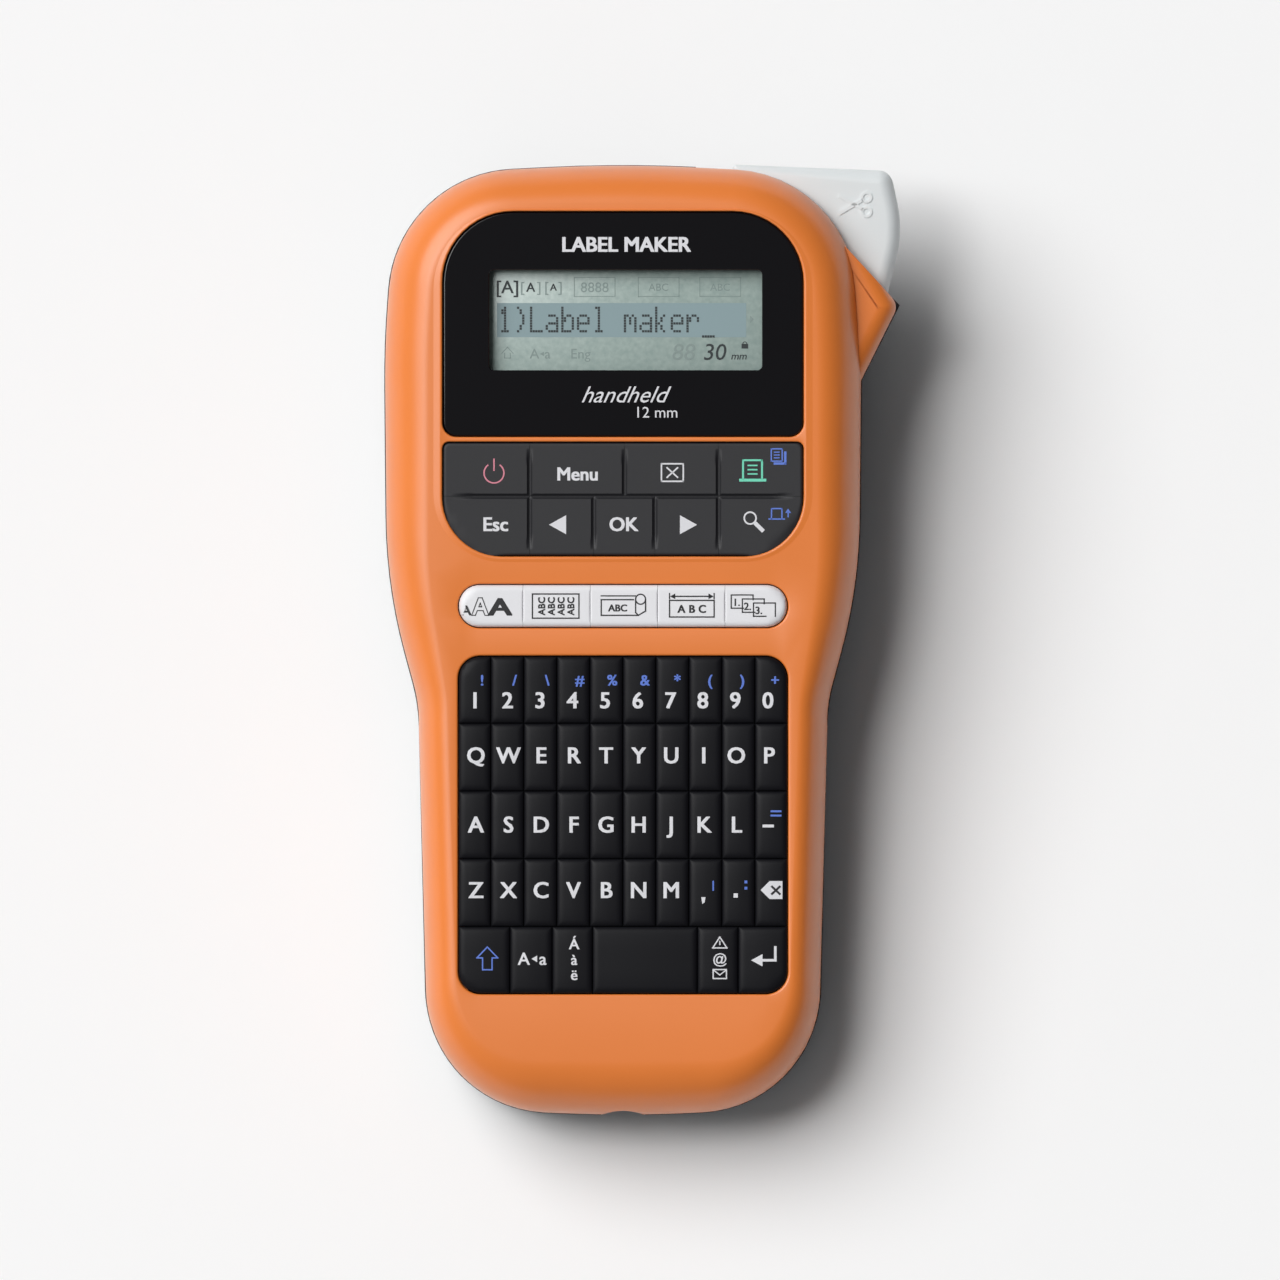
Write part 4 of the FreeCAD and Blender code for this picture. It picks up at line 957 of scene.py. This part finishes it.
# %% [markdown]
# ### The keyboard
# The character keys are soft pillows that touch each other at the bottom of narrow valleys. Four
# rows have ten keys each, and the last row has six of different widths. The bottom edge of the
# block is crowned, so the outer keys' corners are rounded.

# %% Model the keyboard
CHARACTER_TOP = 0.4
CHARACTER_RADII = (4.8, 4.8)
PILLOW = 1.15
KEYBOARD_RUBBER = moulded("keyboard_rubber", srgb(18, 18, 22), 0.45, variation=0.02, specular=0.15)


def character_height(x, y, outer, inner, cell):
    x0, x1, y0, y1 = cell
    across = abs(2 * x - x0 - x1) / (x1 - x0)
    along = abs(2 * y - y0 - y1) / (y1 - y0)
    crown = 0.22 * across ** 2 + 0.3 * along ** 4
    return CHARACTER_TOP - crown - rounded_drop(min(outer, inner), PILLOW) * 0.5


ROWS = 5
COLUMNS = 10
ROW_PITCH = (CHARACTER_LIMITS[3] - CHARACTER_LIMITS[2]) / ROWS
COLUMN_PITCH = (CHARACTER_LIMITS[1] - CHARACTER_LIMITS[0]) / COLUMNS
ROW_NAMES = ["digit_keys", "upper_letter_keys", "middle_letter_keys", "lower_letter_keys"]
for row, name in enumerate(ROW_NAMES):
    high = CHARACTER_LIMITS[3] - row * ROW_PITCH
    splits = [CHARACTER_LIMITS[0] + k * COLUMN_PITCH for k in range(1, COLUMNS)]
    strip = bmesh.new()
    for cell in cells_of(CHARACTER_LIMITS, splits, high - ROW_PITCH, high):
        merge_into(strip, key_top(CHARACTER_LIMITS, CHARACTER_RADII, cell, character_height, 1.3))
    surfaces[name] = BVHTree.FromBMesh(strip)
    finished(strip, name + "_caps", name + "_body", KEYBOARD_RUBBER, [name])
BOTTOM_KEYS = list(zip(["shift_key", "case_key", "accent_key", "space_key", "symbol_key", "enter_key"],
                       cells_of(CHARACTER_LIMITS, [-23.8, -14.9, -6.4, 15.7, 24.3], CHARACTER_LIMITS[2],
                                CHARACTER_LIMITS[2] + ROW_PITCH)))
for name, cell in BOTTOM_KEYS:
    top = key_top(CHARACTER_LIMITS, CHARACTER_RADII, cell, character_height, 1.3)
    surfaces[name] = BVHTree.FromBMesh(top)
    finished(top, name + "_cap", name + "_body", KEYBOARD_RUBBER, [name])

# %% [markdown]
# ## Key legends
# Every key's legend is laid down onto the key's own surface, and rides with the key, so that it goes
# down when the key is pressed. White is the main print, and the second functions are blue.

# %% Colours of the print and a helper for the keys
PRINT_BLUE = moulded("print_blue", srgb(92, 124, 214), 0.45, variation=0.02)
PRINT_PINK = moulded("print_pink", srgb(218, 132, 150), 0.45, variation=0.02)
PRINT_MINT = moulded("print_mint", srgb(112, 218, 186), 0.45, variation=0.02)
PRINT_BLACK = moulded("print_black", srgb(22, 22, 26), 0.45, variation=0.02)
LIFT = 0.05
BOLD = 0.12


def legend(key, colour, sheet):
    """Prints a sheet on one key, or on one row of keys."""
    name = key + "_" + colour.name
    printed(sheet, name, key + "_body", colour, 0.0, surfaces[key], LIFT)


# %% [markdown]
# ### The function keys
# Four words and pictures above, five below: on and off, menu, clear, print, then escape, two arrows
# with the confirming key between them, and the preview.

# %% Print the function keys
sheet = bmesh.new()
ring(sheet, -27.2, 35.3, 2.1, 0.3, 125, 415)
bar(sheet, -27.2, 35.9, -27.2, 38.2, 0.3)
legend("power_key", PRINT_PINK, sheet)
sheet = bmesh.new()
word(sheet, "Menu", -9.6, 35.2, 2.85, BOLD)
legend("menu_key", PRINT_WHITE, sheet)
sheet = bmesh.new()
frame_line(sheet, 10.4, 35.4, 4.6, 3.7, 0.32)
bar(sheet, 9.3, 34.4, 11.5, 36.4, 0.32)
bar(sheet, 9.3, 36.4, 11.5, 34.4, 0.32)
legend("clear_key", PRINT_WHITE, sheet)
sheet = bmesh.new()
path(sheet, [(25.3, 34.2), (25.3, 38.0), (29.3, 38.0), (29.3, 34.2)], 0.4)
bar(sheet, 24.8, 33.8, 29.9, 33.8, 0.6)
for level in (36.9, 36.0, 35.1):
    bar(sheet, 26.4, level, 28.2, level, 0.3)
legend("print_key", PRINT_MINT, sheet)
sheet = bmesh.new()
frame_line(sheet, 32.4, 39.1, 2.3, 2.6, 0.28)
path(sheet, [(32.0, 37.3), (34.2, 37.3), (34.2, 39.6)], 0.5)
for level in (39.7, 39.1, 38.5):
    bar(sheet, 31.9, level, 32.9, level, 0.24)
legend("print_key", PRINT_BLUE, sheet)
for key, words, x in (("escape_key", "Esc", -26.9), ("ok_key", "OK", 0.1)):
    sheet = bmesh.new()
    word(sheet, words, x, 24.6, 3.0, BOLD)
    legend(key, PRINT_WHITE, sheet)
for key, x, way in (("left_key", -13.8, -1), ("right_key", 13.8, 1)):
    sheet = bmesh.new()
    shape(sheet, [(x - way * 1.8, 22.4), (x - way * 1.8, 26.4), (x + way * 1.8, 24.4)])
    legend(key, PRINT_WHITE, sheet)
sheet = bmesh.new()
ring(sheet, 26.8, 25.8, 1.25, 0.34)
bar(sheet, 28.1, 24.5, 29.3, 23.3, 0.85)
legend("preview_key", PRINT_WHITE, sheet)
sheet = bmesh.new()
path(sheet, [(30.8, 25.6), (34.0, 25.6)], 0.28)
path(sheet, [(31.3, 25.6), (31.3, 27.8), (33.5, 27.8), (33.5, 25.6)], 0.28)
bar(sheet, 34.8, 26.1, 34.8, 27.0, 0.28)
shape(sheet, [(34.2, 26.9), (35.4, 26.9), (34.8, 27.8)])
legend("preview_key", PRINT_BLUE, sheet)

# %% [markdown]
# ### The white keys
# Their pictures say what they set: the size of the letters, a block of repeated text, a flag round
# a cable, a fixed length, and a series of numbers.

# %% Print the white keys
sheet = bmesh.new()
word(sheet, "A", -33.0, 6.4, 2.1, 0.1)
path(sheet, [(-31.9, 5.3), (-30.5, 9.0), (-29.7, 9.0), (-28.3, 5.3), (-29.1, 5.3), (-29.5, 6.3),
             (-30.7, 6.3), (-31.1, 5.3)], 0.2, closed=True)
path(sheet, [(-30.4, 7.1), (-29.8, 7.1), (-30.1, 7.9)], 0.2, closed=True)
word(sheet, "A", -25.9, 7.2, 3.7, 0.22, wide=1.4)
legend("font_key", PRINT_BLACK, sheet)
sheet = bmesh.new()
frame_line(sheet, -14.2, 7.25, 9.8, 5.1, 0.28)
for column in range(4):
    word(sheet, "ABC", -17.2 + 2.05 * column, 7.25, 1.45, 0.07, turn=90)
legend("frame_key", PRINT_BLACK, sheet)
sheet = bmesh.new()
path(sheet, [(2.2, 8.6), (-4.6, 8.6), (-4.6, 5.3), (2.9, 5.3)], 0.28)
bar(sheet, -4.6, 9.4, 2.6, 9.4, 0.26)
word(sheet, "ABC", -1.1, 6.9, 1.5, 0.07)
ring(sheet, 3.7, 8.7, 1.05, 0.28)
path(sheet, [(2.65, 8.4), (2.65, 5.9), (3.2, 5.3), (4.75, 6.2), (4.75, 8.4)], 0.28)
legend("cable_key", PRINT_BLACK, sheet)
sheet = bmesh.new()
frame_line(sheet, 14.5, 6.7, 9.4, 3.5, 0.28)
for x, letter in ((12.3, "A"), (14.5, "B"), (16.7, "C")):
    word(sheet, letter, x, 6.7, 1.7, 0.08)
bar(sheet, 10.6, 9.3, 18.4, 9.3, 0.28)
for x, way in ((9.9, 1), (19.1, -1)):
    shape(sheet, [(x, 9.3), (x + way * 1.1, 9.9), (x + way * 1.1, 8.7)])
    bar(sheet, x - way * 0.1, 8.8, x - way * 0.1, 9.9, 0.26)
legend("length_key", PRINT_BLACK, sheet)
sheet = bmesh.new()
for step, digit in enumerate("123"):
    x, y = 25.0 + 2.35 * step, 8.2 - 0.85 * step
    path(sheet, [(x + 0.4, y - 1.4), (x - 2.2, y - 1.4), (x - 2.2, y + 1.4), (x + 2.4, y + 1.4),
                 (x + 2.4, y + 0.4 if step < 2 else y - 1.4)], 0.26)
    word(sheet, digit + ".", x - 1.1, y - 0.1, 1.6, 0.05)
legend("number_key", PRINT_BLACK, sheet)

# %% [markdown]
# ### The keyboard's letters
# The digits carry blue signs above them. The letters follow the usual order.

# %% Print the character keys
LETTER_X = -31.2
LETTER_STEP = 6.86
LETTER = 3.5
sheet = bmesh.new()
for column, words in enumerate("1234567890"):
    word(sheet, words, LETTER_X + LETTER_STEP * column, -12.5, LETTER, BOLD)
legend("digit_keys", PRINT_WHITE, sheet)
sheet = bmesh.new()
for column, words in enumerate("!/\\#%&*()+"):
    word(sheet, words, LETTER_X + LETTER_STEP * column + 1.5, -8.3, 2.3, 0.08)
legend("digit_keys", PRINT_BLUE, sheet)
for key, words, level in (("upper_letter_keys", "QWERTYUIOP", -24.1),
                          ("middle_letter_keys", "ASDFGHJKL", -38.7),
                          ("lower_letter_keys", "ZXCVBNM", -52.5)):
    sheet = bmesh.new()
    for column, letter in enumerate(words):
        word(sheet, letter, LETTER_X + 0.2 + LETTER_STEP * column, level, LETTER, BOLD)
    if key == "middle_letter_keys":
        bar(sheet, 29.7, -39.1, 31.5, -39.1, 0.6)
    if key == "lower_letter_keys":
        shape(sheet, [(16.5, -54.1), (17.4, -54.1), (17.2, -55.2), (16.7, -55.5)])
        shape(sheet, [(23.3, -54.2), (24.2, -54.2), (24.2, -53.3), (23.3, -53.3)])
        shape(sheet, [(29.0, -52.6), (30.9, -50.7), (33.6, -50.7), (33.6, -54.5), (30.9, -54.5)])
    legend(key, PRINT_WHITE, sheet)
sheet = bmesh.new()
bar(sheet, 31.3, -36.0, 33.2, -36.0, 0.4)
bar(sheet, 31.3, -36.9, 33.2, -36.9, 0.4)
legend("middle_letter_keys", PRINT_BLUE, sheet)
sheet = bmesh.new()
bar(sheet, 19.0, -50.8, 19.0, -52.6, 0.32)
for level in (-50.6, -51.9):
    shape(sheet, [(25.6, level), (26.2, level), (26.2, level - 0.6), (25.6, level - 0.6)])
legend("lower_letter_keys", PRINT_BLUE, sheet)
sheet = bmesh.new()
bar(sheet, 31.4, -51.9, 33.0, -53.4, 0.45)
bar(sheet, 31.4, -53.4, 33.0, -51.9, 0.45)
printed(sheet, "erase_cross", "lower_letter_keys_body", PRINT_BLACK, 0.0,
        surfaces["lower_letter_keys"], LIFT + 0.03)
sheet = bmesh.new()
path(sheet, [(-29.6, -69.4), (-29.6, -66.9), (-30.8, -66.9), (-28.6, -64.6), (-26.4, -66.9), (-27.6, -66.9),
             (-27.6, -69.4)], 0.28, closed=True)
legend("shift_key", PRINT_BLUE, sheet)
sheet = bmesh.new()
word(sheet, "A", -20.9, -67.0, 2.7, 0.06)
word(sheet, "a", -16.9, -67.0, 2.7, 0.06)
shape(sheet, [(-18.1, -66.4), (-18.1, -67.8), (-19.3, -67.1)])
legend("case_key", PRINT_WHITE, sheet)
sheet = bmesh.new()
for words, level in (("Á", -63.9), ("à", -67.2), ("ë", -70.4)):
    word(sheet, words, -10.3, level, 2.3, 0.06)
legend("accent_key", PRINT_WHITE, sheet)
sheet = bmesh.new()
path(sheet, [(18.9, -64.8), (20.4, -62.5), (21.9, -64.8)], 0.26, closed=True)
bar(sheet, 20.4, -63.4, 20.4, -64.1, 0.24)
word(sheet, "@", 20.4, -67.0, 2.2, 0.03)
frame_line(sheet, 20.4, -70.3, 2.8, 1.9, 0.26)
path(sheet, [(19.1, -69.5), (20.4, -70.5), (21.7, -69.5)], 0.24)
legend("symbol_key", PRINT_WHITE, sheet)
sheet = bmesh.new()
path(sheet, [(32.1, -64.7), (32.1, -67.4), (29.2, -67.4)], 0.55)
shape(sheet, [(29.4, -66.1), (29.4, -68.7), (27.0, -67.4)])
legend("enter_key", PRINT_WHITE, sheet)

# %% [markdown]
# ## The cutter lever
# The lever is a broad white wing that wraps round the corner. Its outer edge is rounded over more
# than its inner edge, which hides under the casing, so the rings move in only at the outer corners.
# A pair of scissors stands out of its face in low relief.

# %% Model the lever
LEVER_BOTTOM = -27.0
LEVER_OUTLINE = [(23.2, 100.7, 0.8), (56.6, 99.4, 3.2), (59.3, 87.0, 24.0), (54.7, 68.0, 3.0),
                 (45.8, 68.0, 3.0), (45.6, 96.5, 21.0), (23.2, 97.2, 0.6)]
LEVER_ROUND = [0.5, 1, 1, 1, 0, 0, 0]
LEVER_EDGE = 3.0


def lever_ring(bm, share, z):
    amounts = [LEVER_EDGE * share * r for r in LEVER_ROUND]
    return loop(bm, outline_points(moved_in(LEVER_OUTLINE, amounts)), z)


def lever_body():
    bm = bmesh.new()
    rings = [lever_ring(bm, 0.15, LEVER_BOTTOM), lever_ring(bm, 0, LEVER_BOTTOM + 0.5)]
    for k in range(11):
        turn = math.radians(90 * k / 10)
        rings.append(lever_ring(bm, 1 - math.cos(turn), LEVER_TOP - LEVER_EDGE * (1 - math.sin(turn))))
    skin(bm, rings)
    for end in (rings[0], rings[-1]):
        bmesh.ops.contextual_create(bm, geom=end)
    return bm


lever_mesh = lever_body()
merge_into(lever_mesh, rod(32.5, 91.0, 1.2, -35.0, LEVER_BOTTOM + 1))
merge_into(lever_mesh, rod(51.5, 69.5, 3.2, LEVER_BOTTOM, LEVER_TOP - 0.2))
merge_into(lever_mesh, slab([(30.7, 99.0, 0.5), (35.1, 99.0, 0.5), (35.1, 89.7, 0.5), (30.7, 89.7, 0.5)],
                            LEVER_BOTTOM, LEVER_BOTTOM + 2.6))
finished(lever_mesh, "lever_wing", "lever", LEVER_WHITE, ["cutter_lever"])
relief = bmesh.new()
for side in (-1, 1):
    ring(relief, 51.5, 92.2 + side * 1.55, 0.95, 0.55)
    shape(relief, [(50.6, 92.2 + side * 1.35), (50.9, 92.2 + side * 0.75), (45.8, 92.2 - side * 2.3),
                   (45.5, 92.2 - side * 1.5)])
printed(relief, "scissors_relief", "lever", LEVER_WHITE, LEVER_TOP, lift=0.22)

# %% [markdown]
# ## The camera, the light and the floor
# The casing lies on its back on a pale floor. The camera looks straight down on its face from far
# away with a long lens, so that its sides hardly show. A large soft light to the upper left
# gives the rounding on the left its gleam and leaves the right side in shade.

# %% Stage the scene
scene = bpy.context.scene
CAMERA_DISTANCE = 4.0
FRAME_WIDTH = 0.2698
FRAME_CENTRE = (3.58, 0.1, 0.0)
target = PLACE @ Vector(FRAME_CENTRE)
face_normal = (PLACE.to_3x3() @ Vector((0, 0, 1))).normalized()
up = (PLACE.to_3x3() @ Vector((0, 1, 0))).normalized()
camera_data = bpy.data.cameras.new("camera")
camera_data.sensor_width = 36.0
camera_data.lens = 36.0 * CAMERA_DISTANCE / FRAME_WIDTH
camera_data.clip_end = 20.0
camera = bpy.data.objects.new("camera", camera_data)
scene.collection.objects.link(camera)
side = up.cross(face_normal)
facing = Matrix((side, up, face_normal)).transposed().to_4x4()
camera.matrix_world = Matrix.Translation(target + face_normal * CAMERA_DISTANCE) @ facing
scene.camera = camera

floor_bm = bmesh.new()
bmesh.ops.create_grid(floor_bm, x_segments=1, y_segments=1, size=3.0)
floor_mesh = bpy.data.meshes.new("floor")
floor_bm.to_mesh(floor_mesh)
floor_bm.free()
floor = bpy.data.objects.new("floor", floor_mesh)
floor.location.z = -0.0005
scene.collection.objects.link(floor)
floor_material = moulded("floor_paper", (0.97, 0.97, 0.97, 1), 0.7, variation=0.01)
floor_mesh.materials.append(floor_material)
floor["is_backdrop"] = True


def lamp(name, kind, power, way):
    """A lamp that shines along a given way."""
    data = bpy.data.lights.new(name, kind)
    data.energy = power
    holder = bpy.data.objects.new(name, data)
    scene.collection.objects.link(holder)
    holder.rotation_mode = "QUATERNION"
    holder.rotation_quaternion = way.to_track_quat("-Z", "Y")
    return holder


# a small lamp for the glare on the rims, and broad daylight from the upper left
GLARE_PLACE = Vector((-0.55, 0.05, 1.8))
glare = lamp("glare_light", "AREA", 5, -GLARE_PLACE)
glare.location = GLARE_PLACE
glare.data.size = 0.4
daylight = lamp("window_light", "SUN", 2.45, Vector((0.6, -0.35, -1)))
daylight.data.angle = math.radians(45)

# the surroundings are brighter on the left, and fall off to the right
world = bpy.data.worlds.new("studio")
scene.world = world
world.use_nodes = True
nodes, links = world.node_tree.nodes, world.node_tree.links
direction = nodes.new("ShaderNodeTexCoord")
split = nodes.new("ShaderNodeSeparateXYZ")
ramp = nodes.new("ShaderNodeValToRGB")
ramp.color_ramp.elements[0].position = 0.0
ramp.color_ramp.elements[0].color = (0.5, 0.5, 0.5, 1)
ramp.color_ramp.elements[1].position = 0.75
ramp.color_ramp.elements[1].color = (0.06, 0.06, 0.065, 1)
middle = ramp.color_ramp.elements.new(0.42)
middle.color = (0.4, 0.4, 0.4, 1)
spread = nodes.new("ShaderNodeMapRange")
spread.inputs["From Min"].default_value = -1.0
spread.inputs["From Max"].default_value = 1.0
links.new(direction.outputs["Generated"], split.inputs["Vector"])
links.new(split.outputs["X"], spread.inputs["Value"])
links.new(spread.outputs["Result"], ramp.inputs["Fac"])
links.new(ramp.outputs["Color"], nodes["Background"].inputs["Color"])
nodes["Background"].inputs["Strength"].default_value = 0.6
scene.view_settings.view_transform = "Standard"
print("camera lens", round(camera_data.lens), "mm")

# %% [markdown]
# ## Finishes for the fixed parts
# The mechanism's own pieces are already the right shape. Each gets the finish of what it is made of.

# %% Give the fixed parts their finishes
NODE_FINISH = {
    CHARCOAL: ["rear_shell", "back_cover"], SCREW_BLACK: ["case_screws"], FOAM: ["window_gasket"],
    HOLDER: ["lcd_holder", "roller_arm", "ribbon_spindle"], BOARD: ["main_board"], CHIP: ["board_chips"],
    RUBBER: ["keypad_sheet"], FILM: ["head_cable"], SOCKET: ["dc_jack", "blade_holder"],
    STEEL: ["chassis_plate", "feed_motor", "arm_spring", "lever_spring", "battery_springs", "lever_pin",
            "cutter_anvil", "cutter_blade", "battery_contacts"],
    NATURAL: ["motor_gear", "reduction_gear", "drive_gear", "platen_gear"], CERAMIC: ["print_head"],
    ROLLER: ["platen_roller"], CASSETTE: ["cassette_base", "cassette_lid"], TAPE: ["tape_roll"],
    CELL: ["batteries"]}
for material, names in NODE_FINISH.items():
    for name in names:
        for place in frame["nodes"][name].material_slots:
            place.material = material

# %% Write the sizes and finish
low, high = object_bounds()
print("sizes", [round(1000 * (b - a), 1) for a, b in zip(low, high)])
